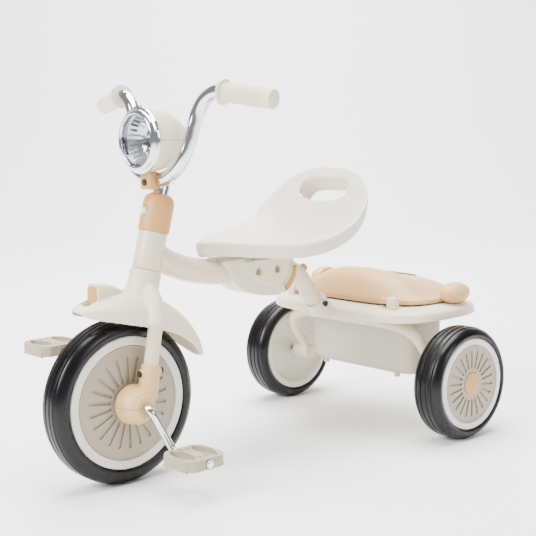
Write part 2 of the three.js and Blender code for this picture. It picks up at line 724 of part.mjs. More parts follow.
function crescent(innerRadius, outerRadius, fromDegrees, toDegrees) {
  const from = THREE.MathUtils.degToRad(fromDegrees);
  const to = THREE.MathUtils.degToRad(toDegrees);
  const shape = new THREE.Shape();
  shape.absarc(pivot.y, pivot.z, outerRadius, from, to, false);
  shape.absarc(pivot.y, pivot.z, innerRadius, to, from, true);
  shape.closePath();
  return shape;
}

function raisedPanel() {
  const p = (dy, dz) => [pivot.y + dy, pivot.z + dz];
  return outline([p(-70, 20), p(-66, 5), p(-54, -8), p(-26, -20), p(-4, -29), p(4, -31), p(14, -24),
    p(22, -14), p(26, 0), p(26, 20)]);
}

function addJointCovers() {
  const half = coverHalfWidth;
  const tubeRoom = tubeAlong(mainTubeCurve(), mainTubeRadius + fitGap, 5, 14);
  const endOfTube = rod(vec(0, pivot.y - 38, pivot.z + 1), vec(0, pivot.y - 34, pivot.z + 1),
    mainTubeRadius + fitGap, 14);
  for (const [side, sign] of [['left', 1], ['right', -1]]) {
    const span = (a, b) => [sign * a, sign * b].sort((first, second) => first - second);
    const shell = sideProfile(coverOutline(), ...span(fitGap / 2, half));
    const panel = sideProfile(raisedPanel(), ...span(half - 1, half + 3.5));
    const rim = sideProfile(crescent(30, 44, -68, 8), ...span(half - 5, half + 3.5), 4);
    const room = sideProfile(coreRoom(), -knuckleHalfWidth - fitGap, knuckleHalfWidth + fitGap);
    const recesses = [-41, 0].map((dy) =>
      rod(vec(sign * (half - 2.5), pivot.y + dy, pivot.z), vec(sign * (half + 9), pivot.y + dy, pivot.z),
      6.5, 12));
    const pinHole = rod(vec(-60, pivot.y, pivot.z), vec(60, pivot.y, pivot.z), boltRadius + fitGap, 10);
    const tools = [room, tubeRoom, endOfTube, ...recesses, pinHole];
    if (sign > 0) tools.push(sideProfile(crescent(31.9, 42.1, -64, 4), half - 6, half + 20, 4));
    add(frame, `joint_cover_${side}`, cut(joined(shell, panel, rim), ...tools), cream);
  }
}

function addFoldButton() {
  const bar = sideProfile(crescent(32.5, 41.5, -63, 3), coverHalfWidth - 1.2, coverHalfWidth + 5, 4);
  add(foldButton, 'fold_button', bar, peach);
}

function addJointCore() {
  const p = (dy, dz) => [pivot.y + dy, pivot.z + dz];
  const web = sideProfile(outline([p(-82, 22), p(-82, -11), p(-63, -26), p(-30, -36), p(-22, -36),
    p(-22, 22)]),
    -knuckleHalfWidth, knuckleHalfWidth);
  const knuckleRoom = rod(vec(-30, pivot.y, pivot.z), vec(30, pivot.y, pivot.z), knuckleRadius + 1.2, 20);
  const tubeRoom = tubeAlong(mainTubeCurve(), mainTubeRadius + fitGap, 5, 14);
  const end = rod(vec(0, pivot.y - 38, pivot.z + 1), vec(0, pivot.y - 34, pivot.z + 1),
    mainTubeRadius + fitGap, 14);
  add(frame, 'joint_core', cut(web, knuckleRoom, tubeRoom, end), steel);
  const shank = rod(vec(-coverHalfWidth + 2.2, pivot.y, pivot.z),
    vec(coverHalfWidth - 2.2, pivot.y, pivot.z), boltRadius, 10);
  add(frame, 'fold_pin', shank, steel);
}

// Seat

// Left half of the rim from the nose to the top of the back: across, behind the nose, above the nose.
const seatRimPoints = [[0, 0, 0], [29, 0.09, 0], [64, 0.19, -0.02], [94, 0.29, -0.04], [117, 0.39, -0.04],
  [124, 0.58, 0.02],
  [127, 0.75, 0.21], [126, 0.82, 0.38], [116, 0.89, 0.58], [86, 0.95, 0.84], [46, 0.985, 0.96], [0, 1, 1]];

function seatRimCurve() {
  const left = seatRimPoints.map(([across, back, rise]) => vec(across * (seatHalfWidth / 127),
    seatFront + back * seatLength, seatRimHeight + rise * seatRise));
  const right = left.slice(1, -1).reverse().map((point) => vec(-point.x, point.y, point.z));
  return new THREE.CatmullRomCurve3([...left, ...right], true, 'centripetal');
}

const seatRim = seatRimCurve().getSpacedPoints(28).slice(0, -1);

function seatRing(scale, floorMix, offset) {
  const middle = vec(0, seatFront + seatLength * 0.5, seatRimHeight - 24);
  return seatRim.map((rim) => {
    const flat = middle.clone().lerp(rim, scale);
    flat.z = middle.z + (rim.z - middle.z) * floorMix + offset;
    return flat;
  });
}

function seatShell() {
  const bowl = [0.3, 0.6, 0.85, 0.95];
  const top = bowl.map((scale) => seatRing(scale, scale ** 2.6, 0));
  const rim = [seatRing(0.985, 1, 0), seatRing(1, 0.97, -5), seatRing(0.99, 0.92, -16),
    seatRing(0.955, 0.86, -27),
    seatRing(0.935, 0.86, -27), seatRing(0.94, 0.9, -12)];
  const under = [...bowl].reverse().slice(1).map((scale) => seatRing(scale, scale ** 2.6, -5));
  return skin([...top, ...rim, ...under]);
}

function addSeat() {
  const slotY = seatFront + seatLength * 0.885;
  const slotZ = seatRimHeight + 62;
  const slot = skin([-60, 60].map((back) => roundedRing(57, 19, slotZ, 0, 4, 20)
    .map((point) => vec(point.x, slotY + back, point.y - back * 0.35))));
  const bracketTop = coverTop + 5;
  const base = box(vec(-30, pivot.y - 62, bracketTop), vec(30, pivot.y + 26, seatRimHeight - 24));
  add(frame, 'seat', cut(joined(seatShell(), base), slot, ...seatScrews(boltRadius - 1)), seatCream);
  const plate = box(vec(-36, pivot.y - 68, coverTop + fitGap), vec(36, pivot.y + 34, bracketTop - fitGap));
  const screws = seatScrewPlaces().flatMap(([x, y]) => [
    rod(vec(x, y, coverTop - 1), vec(x, y, bracketTop + 4.5), boltRadius - 1.3, 6),
    rod(vec(x, y, coverTop - 3.4), vec(x, y, coverTop + 1), 4.6, 8),
  ]);
  add(frame, 'seat_bracket', joined(plate, ...screws), steel);
}

function seatScrewPlaces() {
  const x = coverHalfWidth + 5;
  return [[x, -50], [-x, -50], [x, 16], [-x, 16]].map(([across, back]) => [across, pivot.y + back]);
}

function seatScrews(radius) {
  return seatScrewPlaces().map(([x, y]) =>
    rod(vec(x, y, coverTop - 10), vec(x, y, coverTop + 12), radius, 6));
}

// Rear frame

const strutFoot = vec(0, platformMiddle.y - platformHalfLength - 4, platformMiddle.z + 10);
const strutSeam = strutFoot.clone().add(vec(0, -18, 21));

function strutCurve(extend = 0) {
  const start = vec(0, pivot.y + 18, pivot.z);
  const lead = vec(0, pivot.y + 74, pivot.z - 2);
  const drop = strutFoot.clone().sub(strutSeam).normalize();
  const path = new THREE.CurvePath();
  const straight = strutSeam.clone().addScaledVector(drop, -8);
  path.add(new THREE.CubicBezierCurve3(start, lead, straight.clone().addScaledVector(drop, -30), straight));
  path.add(new THREE.LineCurve3(straight, strutSeam.clone().addScaledVector(drop, 22 + extend)));
  return path;
}

function addStrut() {
  const knuckle = rod(vec(-knuckleHalfWidth + runGap, pivot.y, pivot.z),
    vec(knuckleHalfWidth - runGap, pivot.y, pivot.z), knuckleRadius, 20);
  const hole = rod(vec(-30, pivot.y, pivot.z), vec(30, pivot.y, pivot.z), boltRadius + fitGap, 10);
  const arm = tubeAlong(strutCurve(), strutRadius, 10, 12);
  const bolt = strutBoltRod(boltRadius - 0.7);
  add(rearFrame, 'strut', cut(joined(knuckle, arm), hole, bolt), creamPaint);
  const nub = alongStrutBack();
  const bumper = rod(nub.clone().add(vec(0, -6, -6)), nub, 7, 16);
  add(rearFrame, 'fold_bumper', cut(bumper, tubeAlong(strutCurve(), strutRadius + fitGap, 10, 12)), peach);
}

function alongStrutBack() {
  const point = strutCurve().getPointAt(0.42);
  return point.add(vec(0, 15, 14));
}

function strutBoltRod(radius) {
  const middle = strutCurve().getPointAt(0.9);
  return rod(vec(-30, middle.y, middle.z), vec(30, middle.y, middle.z), radius, 12);
}

function platformRings() {
  const { y, z } = platformMiddle;
  const ring = (halfX, halfY, height, power, middle = y) =>
    roundedRing(halfX, halfY, middle, z + height, power, 26);
  const a = platformHalfWidth;
  const b = platformHalfLength;
  const wall = platformWall;
  const storeY = y + 7;
  return [
    ring(tubHalfWidth + 4, 56, 19, 5, storeY), ring(a - 26, b - 22, 20, 3.4), ring(a - 10, b - 9, 17, 3.3),
    ring(a - 3, b - 3, 14, 3.2), ring(a - 1, b - 1, 10, 3.2), ring(a, b, 0, 3.2),
    ring(a - wall, b - wall, 0, 3.2), ring(a - wall - 2, b - wall - 2, 11, 3.2),
    ring(a - 26, b - 22, 20 - wall, 3.4), ring(tubHalfWidth + 4, 56, 19 - wall, 5, storeY),
  ];
}

function platformEnvelope(grow) {
  const { y, z } = platformMiddle;
  const ring = (inset, height) => roundedRing(platformHalfWidth - inset + grow,
    platformHalfLength - inset + grow, y, z + height, 3.3, 26);
  return skin([ring(0, -20), ring(0, 10 + grow), ring(3, 14 + grow), ring(10, 17.5 + grow),
    ring(24, 20.5 + grow)]);
}

function hingePost(sign) {
  const low = sign * 115;
  const x = [low, low + sign * 17].sort((first, second) => first - second);
  return box(vec(x[0], lidHinge.y - 8, platformMiddle.z + 17.5), vec(x[1], lidHinge.y + 8, lidHinge.z + 7));
}

function addPlatform() {
  const plate = skin(platformRings(), true);
  const drop = strutFoot.clone().sub(strutSeam).normalize();
  const socketEnd = strutSeam.clone().addScaledVector(drop, 34);
  const socket = rod(strutSeam, socketEnd, strutRadius + 3.4, 16, strutRadius + 6);
  const apron = rod(vec(0, platformMiddle.y - platformHalfLength + 14, platformMiddle.z),
    vec(0, platformMiddle.y - platformHalfLength + 14, platformMiddle.z + 19), 30, 16, 24);
  const bore = tubeAlong(strutCurve(1), strutRadius + fitGap, 10, 12);
  const under = box(vec(-60, platformMiddle.y - platformHalfLength - 60, platformMiddle.z - 40),
    vec(60, platformMiddle.y, platformMiddle.z + 0.01));
  const pins = [1, -1].map((sign) => rod(vec(sign * 100, lidHinge.y, lidHinge.z),
    vec(sign * 120, lidHinge.y, lidHinge.z), 2.5, 14));
  const whole = joined(plate, cut(socket, under), apron, hingePost(1), hingePost(-1), ...pins);
  add(rearFrame, 'platform', cut(whole, bore, strutBoltRod(boltRadius - 0.7)), cream);
  const middle = strutCurve().getPointAt(0.9);
  const reach = strutRadius + 7.5;
  const shank = rod(vec(-reach, middle.y, middle.z), vec(reach, middle.y, middle.z), boltRadius - 1, 8);
  const heads = [1, -1].map((sign) => rod(vec(sign * (reach - 0.6), middle.y, middle.z),
    vec(sign * (reach + 3), middle.y, middle.z), 5, 10));
  add(rearFrame, 'strut_bolt', joined(shank, ...heads), darkScrew);
}

function addTub() {
  const { y, z } = platformMiddle;
  const middle = y + 7;
  const wall = 2.6;
  const top = z + 19 - platformWall - fitGap;
  const ring = (inset, height, flare = 0) =>
    roundedRing(tubHalfWidth - inset + flare, 50 - inset + flare, middle, height, 5.5, 20);
  const low = top - tubDepth;
  const shell = skin([ring(16, low), ring(6, low + 1), ring(2, low + 10), ring(0, top - 6),
    ring(0, top - wall), ring(0, top - wall, 10),
    ring(0, top, 10), ring(wall, top), ring(wall + 2, low + 10), ring(wall + 6, low + 4),
      ring(wall + 14, low + 3.4)]);
  const feet = [[88, -38], [-88, -38]].map(([x, dy]) =>
    rod(vec(x, middle + dy, low - 5), vec(x, middle + dy, low + 2), 5, 12));
  add(rearFrame, 'storage_tub', joined(shell, ...feet), tubCream);
}

function bowCurve() {
  const ends = vec(rearHalfTrack - rearTyreWidth / 2 - 14, wheelbase, rearWheelRadius);
  const front = platformMiddle.y + 7 - 50 - bowRadius - 4;
  const height = platformMiddle.z - bowRadius - 3;
  const half = [vec(0, front, height), vec(64, front, height), vec(ends.x - 46, front, height - 4),
    vec(ends.x - 18, front + 6, height - 20),
    vec(ends.x - 9, front + 22, height - 50), vec(ends.x - 8, wheelbase - 8, rearWheelRadius + 22),
      vec(ends.x - 6, wheelbase, rearWheelRadius + 3)];
  const right = half.slice(1).map((point) => vec(-point.x, point.y, point.z)).reverse();
  return new THREE.CatmullRomCurve3([...right, ...half], false, 'centripetal');
}

function addBow() {
  const bosses = [1, -1].map((sign) => {
    const face = sign * (rearHalfTrack - rearTyreWidth / 2 + 8);
    return rod(vec(sign * (rearHalfTrack - rearTyreWidth / 2 - 34), wheelbase, rearWheelRadius),
      vec(face, wheelbase, rearWheelRadius), 12, 12, 15);
  });
  const bores = [1, -1].map((sign) => rod(vec(sign * (rearHalfTrack - rearTyreWidth / 2 - 26), wheelbase,
    rearWheelRadius),
    vec(sign * rearHalfTrack, wheelbase, rearWheelRadius), boltRadius + fitGap, 10));
  add(rearFrame, 'axle_bow', cut(joined(tubeAlong(bowCurve(), bowRadius, 22, 8), ...bosses), ...bores),
    creamPaint);
}

function addRearWheel(side, sign) {
  const half = rearTyreWidth / 2;
  const wheel = body(rearFrame, sign * rearHalfTrack, wheelbase - pivot.y, rearWheelRadius - pivot.z);
  const at = (geometry) => geometry.translate(sign * rearHalfTrack, wheelbase, rearWheelRadius);
  const tyre = turnedX(tyreProfile(rearWheelRadius, rearRimRadius, rearTyreWidth), wheelSides);
  add(wheel, `rear_tyre_${side}`, at(tyre), rubber);
  const floor = half - 14;
  const bore = boltRadius + fitGap;
  const outer = rearRimRadius - fitGap;
  const lip = rearDiscRadius + fitGap;
  const profile = [[bore, -12], [17, -12], [22, -half + 14], [lip, -half + 1], [outer, -half + 1],
    [outer, half - 1],
    [lip, half - 1], [lip, floor], [18, 12], [bore, 12], [bore, -12]]
    .map(([radius, x]) => [radius, sign * x]);
  if (sign < 0) profile.reverse();
  add(wheel, `rear_rim_${side}`, at(turnedX(profile, wheelSides)), ringWhite);
  const faces = [sign * (half - 5), sign * (half - 2.5)].sort((first, second) => first - second);
  add(wheel, `rear_disc_${side}`, at(slottedDisc(rearDiscRadius, 17, ...faces, 27, 55, 3)), discGrey);
  const capProfile = [[0, half - 3], [16.2, half - 3], [16.2, half - 2.2], [19.2, half - 2.2],
    [19.2, half - 0.5], [14, half + 0.8], [0, half + 1]]
    .map(([radius, x]) => [radius, sign * x]);
  if (sign < 0) capProfile.reverse();
  add(wheel, `hub_cap_${side}`, at(turnedX(capProfile, 18)), peach);
  const inner = vec(sign * (rearHalfTrack - half - 24), wheelbase, rearWheelRadius);
  const tip = vec(sign * (rearHalfTrack + 15), wheelbase, rearWheelRadius);
  const shank = rod(inner, tip, boltRadius, 16);
  const nut = rod(vec(sign * (rearHalfTrack + 12.6), wheelbase, rearWheelRadius),
    vec(sign * (rearHalfTrack + 18), wheelbase, rearWheelRadius), 7, 6);
  add(rearFrame, `wheel_bolt_${side}`, joined(shank, nut), steel);
}

// Storage lid

const lidRear = platformMiddle.y + platformHalfLength - 8;
const lidEdge = lidHinge.z - 5;

function lidHeight(x, y) {
  const along = (y - lidHinge.y) / (lidRear - lidHinge.y);
  const hump = Math.exp(-(((along - 0.28) / 0.34) ** 2));
  const rearBump = 0.42 * Math.exp(-(((along - 0.78) / 0.24) ** 2));
  const across = Math.max(0, 1 - (Math.abs(x) / 150) ** 2.4);
  return 44 * (hump + rearBump) * across ** 0.8;
}

function lidRing(scale, drop, inset = 0) {
  const middleY = (lidHinge.y + 4 + lidRear) / 2;
  const halfY = (lidRear - lidHinge.y - 4) / 2;
  return roundedRing((150 - inset) * scale, (halfY - inset) * scale, middleY, lidEdge, 3.2, 26)
    .map((point) => vec(point.x, point.y,
      lidEdge + 3 + lidHeight(point.x, point.y) * (1 - scale ** 6) - drop));
}

function lidShell() {
  const steps = [0.2, 0.45, 0.68, 0.87, 1];
  const top = steps.map((scale) => lidRing(scale, 0));
  const skirt = [lidRing(1, 3), lidRing(1, 3, 3)];
  const under = [...steps].reverse().slice(1).map((scale) => lidRing(scale, 2.6, 1.5));
  return skin([...top, ...skirt, ...under]);
}

function addLid() {
  const shell = lidShell();
  const ears = [1, -1].flatMap((sign) => {
    const from = sign * 97;
    const to = sign * (115 - runGap);
    const knuckle = rod(vec(from, lidHinge.y, lidHinge.z), vec(to, lidHinge.y, lidHinge.z), 5.5, 16);
    const x = [from, to].sort((first, second) => first - second);
    return [knuckle, box(vec(x[0], lidHinge.y, lidHinge.z - 4.5),
      vec(x[1], lidHinge.y + 14, lidHinge.z + 1.5))];
  });
  const pinHoles = rod(vec(-130, lidHinge.y, lidHinge.z), vec(130, lidHinge.y, lidHinge.z), 2.5 + fitGap, 14);
  const postRoom = [1, -1].map((sign) => {
    const low = sign * 114;
    const x = [low, low + sign * 19].sort((first, second) => first - second);
    return rod(vec(x[0], lidHinge.y, lidHinge.z), vec(x[1], lidHinge.y, lidHinge.z), 15, 24);
  });
  const inlayY = lidHinge.y + 0.76 * (lidRear - lidHinge.y);
  const column = new THREE.ExtrudeGeometry(new THREE.Shape().absellipse(0, 0, 44, 27, 0, 2 * Math.PI),
    { depth: 90, bevelEnabled: false, curveSegments: 10 }).translate(0, inlayY, lidEdge);
  add(lid, 'lid', cut(joined(cut(shell, ...postRoom), ...ears), pinHoles), lidPeach);
  add(lid, 'lid_inlay', cut(common(column, lidCrown(1.3)), lidCrown(fitGap)), inlay);
  for (const [side, sign] of [['left', 1], ['right', -1]]) {
    const egg = new THREE.SphereGeometry(1, 14, 9).scale(22, 32, 18.5).translate(sign * 160,
      lidHinge.y + 119, lidHinge.z + 5);
    add(lid, `lid_lobe_${side}`, cut(egg, lidCrown(fitGap), platformEnvelope(0.9)), lidPeach);
  }
}

// The solid bounded by the lid's outer surface moved out by a clearance.
function lidCrown(grow) {
  const top = [0.2, 0.45, 0.68, 0.87, 1].map((scale) => lidRing(scale, -grow, scale === 1 ? -grow : 0));
  return skin([...top, lidRing(1, 14, -grow)]);
}

addHeadTube();
addMainTube();
addJointCore();
addJointCovers();
addFoldButton();
addSeat();
addFork();
addHubCovers();
addMudguard();
addSleeveAndButton();
addHandlebar();
addLampBracket();
addLamp();
addFrontWheel();
addCrankAndPedals();
addStrut();
addPlatform();
addTub();
addBow();
addRearWheel('left', 1);
addRearWheel('right', -1);
addLid();

// The origin is the middle of the tricycle's footprint, on the ground.
const bounds = new THREE.Box3().setFromObject(tricycle, true);
const middle = bounds.getCenter(new THREE.Vector3());
tricycle.position.set(-middle.x, -middle.y, -bounds.min.z);

export default tricycle;
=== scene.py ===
import math

import bpy
import numpy as np
from mathutils import Matrix, Vector


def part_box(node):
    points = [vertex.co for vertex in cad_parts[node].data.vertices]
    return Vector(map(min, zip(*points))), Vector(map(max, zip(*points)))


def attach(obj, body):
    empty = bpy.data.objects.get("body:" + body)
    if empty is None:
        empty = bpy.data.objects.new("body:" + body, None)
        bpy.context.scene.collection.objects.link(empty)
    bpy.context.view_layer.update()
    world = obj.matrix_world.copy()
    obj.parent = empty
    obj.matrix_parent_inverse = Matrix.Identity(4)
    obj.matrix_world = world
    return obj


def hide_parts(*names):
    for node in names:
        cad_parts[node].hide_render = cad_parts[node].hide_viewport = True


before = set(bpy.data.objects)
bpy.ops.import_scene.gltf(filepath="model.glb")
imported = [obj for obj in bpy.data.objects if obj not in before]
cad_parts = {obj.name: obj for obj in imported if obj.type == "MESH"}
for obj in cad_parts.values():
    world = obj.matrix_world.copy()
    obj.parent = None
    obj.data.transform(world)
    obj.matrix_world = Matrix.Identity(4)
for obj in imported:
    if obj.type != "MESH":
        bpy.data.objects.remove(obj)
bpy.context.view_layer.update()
print("frame loaded", len(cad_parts), "nodes")

# Shapes below are worked out in millimetres with the front axle at y = 0.
axleY = 0.5 * (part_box("front_tyre")[0][1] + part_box("front_tyre")[1][1])


def toRow(points):
    # Millimetres to metres, moved back by the front axle's place.
    row = np.asarray(points, float) * 0.001
    row[..., 1] += axleY
    return row


# A piece is (vertices, quads, polygons) until meshObject puts it into a mesh.


def gridQuads(rows, cols, wrapRows=False, wrapCols=True):
    # Quad (i, j) joins point i, j to its neighbours along both parameters.
    i = np.arange(rows if wrapRows else rows - 1)
    j = np.arange(cols if wrapCols else cols - 1)
    a, b = np.meshgrid(i, j, indexing="ij")
    a2, b2 = (a + 1) % rows, (b + 1) % cols
    return np.stack([a * cols + b, a * cols + b2, a2 * cols + b2, a2 * cols + b], -1).reshape(-1, 4)


def outward(piece):
    # The signed volume is the sum of each corner triple's product; where it is negative all faces turn round.
    verts, quads, polys = piece
    a, b, c, d = (verts[quads[:, k]] for k in range(4))
    volume = np.einsum("ij,ij->", a, np.cross(b, c)) + np.einsum("ij,ij->", a, np.cross(c, d))
    for poly in polys:
        ring = verts[poly]
        volume += np.einsum("ij,ij->", np.repeat(ring[:1], len(ring) - 2, 0), np.cross(ring[1:-1], ring[2:]))
    if volume < 0:
        quads, polys = quads[:, ::-1], [poly[::-1] for poly in polys]
    return verts, quads, polys


def skin(rings, loop=False):
    # Rings of equally many points, either joined end to start or closed by a flat polygon at each end.
    rings = np.asarray(rings, float)
    n, m, _ = rings.shape
    polys = [] if loop else [np.arange(m)[::-1], (n - 1) * m + np.arange(m)]
    return outward((rings.reshape(-1, 3), gridQuads(n, m, loop), polys))


def softened(points, radius, steps=4, closed=False):
    # Each corner becomes a parabola that leaves and meets its two edges `radius` from the corner.
    p = np.asarray(points, float)
    before, after = np.roll(p, 1, 0) - p, np.roll(p, -1, 0) - p
    reach = np.minimum(np.linalg.norm(before, axis=1), np.linalg.norm(after, axis=1)) * 0.48
    reach = np.minimum(reach, radius)[:, None]
    start = p + before / (np.linalg.norm(before, axis=1)[:, None] + 1e-9) * reach
    end = p + after / (np.linalg.norm(after, axis=1)[:, None] + 1e-9) * reach
    t = np.linspace(0, 1, steps)[None, :, None]
    arc = (1 - t) ** 2 * start[:, None] + 2 * t * (1 - t) * p[:, None] + t ** 2 * end[:, None]
    if closed:
        return arc.reshape(-1, p.shape[1])
    return np.vstack([p[:1], arc[1:-1].reshape(-1, p.shape[1]), p[-1:]])


def through(points, count):
    # A cubic Hermite curve through the points, its parameter growing with the root of the chord.
    p = np.asarray(points, float)
    t = np.r_[0, np.cumsum(np.linalg.norm(np.diff(p, axis=0), axis=1) ** 0.5)]
    slope = np.gradient(p, t, axis=0)
    s = np.linspace(0, t[-1], count)
    k = np.clip(np.searchsorted(t, s) - 1, 0, len(t) - 2)
    h = (t[k + 1] - t[k])[:, None]
    x = ((s - t[k]) / h[:, 0])[:, None]
    return ((2 * x ** 3 - 3 * x ** 2 + 1) * p[k] + (x ** 3 - 2 * x ** 2 + x) * h * slope[k]
            + (3 * x ** 2 - 2 * x ** 3) * p[k + 1] + (x ** 3 - x ** 2) * h * slope[k + 1])


def crossAxes(direction):
    # Two unit vectors square to a direction and to each other.
    w = np.asarray(direction, float) / np.linalg.norm(direction)
    side = np.array([1.0, 0, 0]) if abs(w[0]) < 0.9 else np.array([0, 1.0, 0])
    u = side - w * (side @ w)
    u /= np.linalg.norm(u)
    return u, np.cross(w, u), w


def turned(profile, origin, axis, sides=64, loop=False, swell=None):
    # Every profile point (radius, along) goes round the axis; swell adds to the radius by angle and point.
    u, v, w = crossAxes(axis)
    profile = np.asarray(profile, float)
    angle = np.arange(sides) * 2 * np.pi / sides
    radius = np.repeat(profile[:, :1], sides, 1)
    if swell is not None:
        radius = radius + swell(angle[None, :], profile[:, :1], profile[:, 1:])
    spoke = np.cos(angle)[:, None] * u + np.sin(angle)[:, None] * v
    rings = np.asarray(origin, float) + profile[:, None, 1:] * w + radius[:, :, None] * spoke[None]
    return skin(rings, loop)


def tube(path, radius, sides=32, endRound=0.0):
    # A circle carried along a path, its frame turned as little as possible from point to point.
    path = np.asarray(path, float)
    tangent = np.gradient(path, axis=0)
    tangent /= np.linalg.norm(tangent, axis=1)[:, None]
    u = crossAxes(tangent[0])[0]
    radii = np.broadcast_to(radius, len(path))
    angle = np.arange(sides) * 2 * np.pi / sides
    rings = []
    for centre, w, r in zip(path, tangent, radii):
        u = u - w * (u @ w)
        u /= np.linalg.norm(u)
        v = np.cross(w, u)
        rings.append(centre + r * (np.cos(angle)[:, None] * u + np.sin(angle)[:, None] * v))
    if endRound:
        first, last = rings[0], rings[-1]
        inner = 1 - endRound / radii[0]
        rings = [first.mean(0) + (first - first.mean(0)) * inner - tangent[0] * endRound * 0.7, *rings,
                 last.mean(0) + (last - last.mean(0)) * inner + tangent[-1] * endRound * 0.7]
    return skin(rings)


def insetLoop(loop, depth):
    # Each point of a flat outline moves inward along the mean of its two edges' normals.
    ahead, behind = np.roll(loop, -1, 0) - loop, loop - np.roll(loop, 1, 0)
    normal = np.stack([-(ahead[:, 1] + behind[:, 1]), ahead[:, 0] + behind[:, 0]], 1)
    normal /= np.linalg.norm(normal, axis=1)[:, None] + 1e-9
    x, y = loop.T
    turning = np.sign(np.sum(x * np.roll(y, -1) - y * np.roll(x, -1)))
    return loop + normal * depth * turning


def slab(outline, low, high, plane, round=1.0):
    # A flat outline carried from low to high, with its edges rounded; plane orders the three coordinates.
    loop = np.asarray(outline, float)
    levels = [(low, round), (low + 0.3 * round, 0.3 * round), (low + round, 0), (high - round, 0),
              (high - 0.3 * round, 0.3 * round), (high, round)]
    rings = []
    for level, depth in levels:
        flat = insetLoop(loop, depth)
        point = np.column_stack([flat, np.full(len(flat), level)])
        rings.append(point[:, plane])
    return skin(rings)


sideOn = [2, 0, 1]  # outline in y and z, carried along x
levelOn = [0, 1, 2]  # outline in x and y, carried along z
frontOn = [0, 2, 1]  # outline in x and z, carried along y


def superLoop(halfX, halfY, power, count=120, middle=(0.0, 0.0)):
    # A superellipse: cosine and sine each raised to two over the power.
    angle = (np.arange(count) + 0.5) * 2 * np.pi / count
    c, s = np.cos(angle), np.sin(angle)
    x = halfX * np.sign(c) * np.abs(c) ** (2 / power)
    y = halfY * np.sign(s) * np.abs(s) ** (2 / power)
    return np.column_stack([x + middle[0], y + middle[1]])


def levelRing(halfX, halfY, power, y, z, count=160):
    # The same, lying level at a height.
    loop = superLoop(halfX, halfY, power, count, (0, y))
    return np.column_stack([loop, np.full(count, float(z))])


def rodPiece(start, end, radius, sides=32, round=0.6):
    # A straight rod with rounded ends.
    start, end = np.asarray(start, float), np.asarray(end, float)
    length = np.linalg.norm(end - start)
    profile = softened([(0.01, 0), (radius, 0), (radius, length), (0.01, length)], round, 4)
    return turned(profile, start, end - start, sides)


def boxPiece(low, high, round=1.5):
    # A block with rounded upright edges and eased faces.
    (x0, y0, z0), (x1, y1, z1) = low, high
    loop = softened([(x0, y0), (x1, y0), (x1, y1), (x0, y1)], round * 1.8, 5, closed=True)
    return slab(loop, z0, z1, levelOn, round)


def mirrored(piece):
    # The same piece on the other side of the tricycle.
    verts, quads, polys = piece
    return outward((verts * np.array([-1.0, 1, 1]), quads, polys))


def meshObject(name, pieces):
    # All the pieces' vertices and faces in one mesh, in the row frame.
    verts, faces, offset = [], [], 0
    for v, q, polys in pieces:
        verts.append(v)
        faces += (q + offset).tolist() + [(np.asarray(poly) + offset).tolist() for poly in polys]
        offset += len(v)
    mesh = bpy.data.meshes.new(name)
    mesh.from_pydata(toRow(np.vstack(verts)), [], faces)
    mesh.validate()
    obj = bpy.data.objects.new(name, mesh)
    bpy.context.scene.collection.objects.link(obj)
    return obj


def settle(obj):
    # The modifiers' result becomes the object's own mesh.
    bpy.context.view_layer.update()
    graph = bpy.context.evaluated_depsgraph_get()
    mesh = bpy.data.meshes.new_from_object(obj.evaluated_get(graph))
    obj.modifiers.clear()
    obj.data = mesh
    return obj


def fused(obj, voxel, passes):
    # One skin round all the pieces, its creases eased by averaging.
    grow = obj.modifiers.new("voxels", "REMESH")
    grow.mode, grow.voxel_size = "VOXEL", voxel * 0.001
    ease = obj.modifiers.new("ease", "SMOOTH")
    ease.factor, ease.iterations = 0.5, passes
    return settle(obj)


def carved(obj, pieces, together=False):
    # The pieces are taken out one after another, or at once where they stand clear of each other.
    for group in [pieces] if together else [[piece] for piece in pieces]:
        cutter = meshObject("cutter", group)
        cut = obj.modifiers.new("cut", "BOOLEAN")
        cut.operation, cut.solver, cut.object = "DIFFERENCE", "EXACT", cutter
        settle(obj)
        bpy.data.objects.remove(cutter)
    return obj


def finish(obj, body, material, nodes, angle=38):
    # Smooth shading with creases kept past an angle; the piece rides on a body and stands for its CAD nodes.
    obj.data.materials.clear()
    obj.data.materials.append(material)
    obj.data.shade_smooth()
    obj.data.set_sharp_from_angle(angle=math.radians(angle))
    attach(obj, body)
    if nodes:
        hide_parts(*nodes)
    print("piece", obj.name, len(obj.data.polygons), "faces")
    return obj


def linear(hexColour):
    # sRGB hex to linear: the standard curve with its short straight start.
    value = np.array([int(hexColour[k:k + 2], 16) / 255 for k in (1, 3, 5)])
    value = np.where(value <= 0.04045, value / 12.92, ((value + 0.055) / 1.055) ** 2.4)
    return (*value, 1.0)


def addNode(tree, kind, inputs=(), **settings):
    # A node with its settings, and its sockets fed by a value or by another node's output.
    made = tree.nodes.new("ShaderNode" + kind)
    for key, value in settings.items():
        setattr(made, key, value)
    for key, value in dict(inputs).items():
        if isinstance(value, bpy.types.NodeSocket):
            tree.links.new(value, made.inputs[key])
        else:
            made.inputs[key].default_value = value
    return made


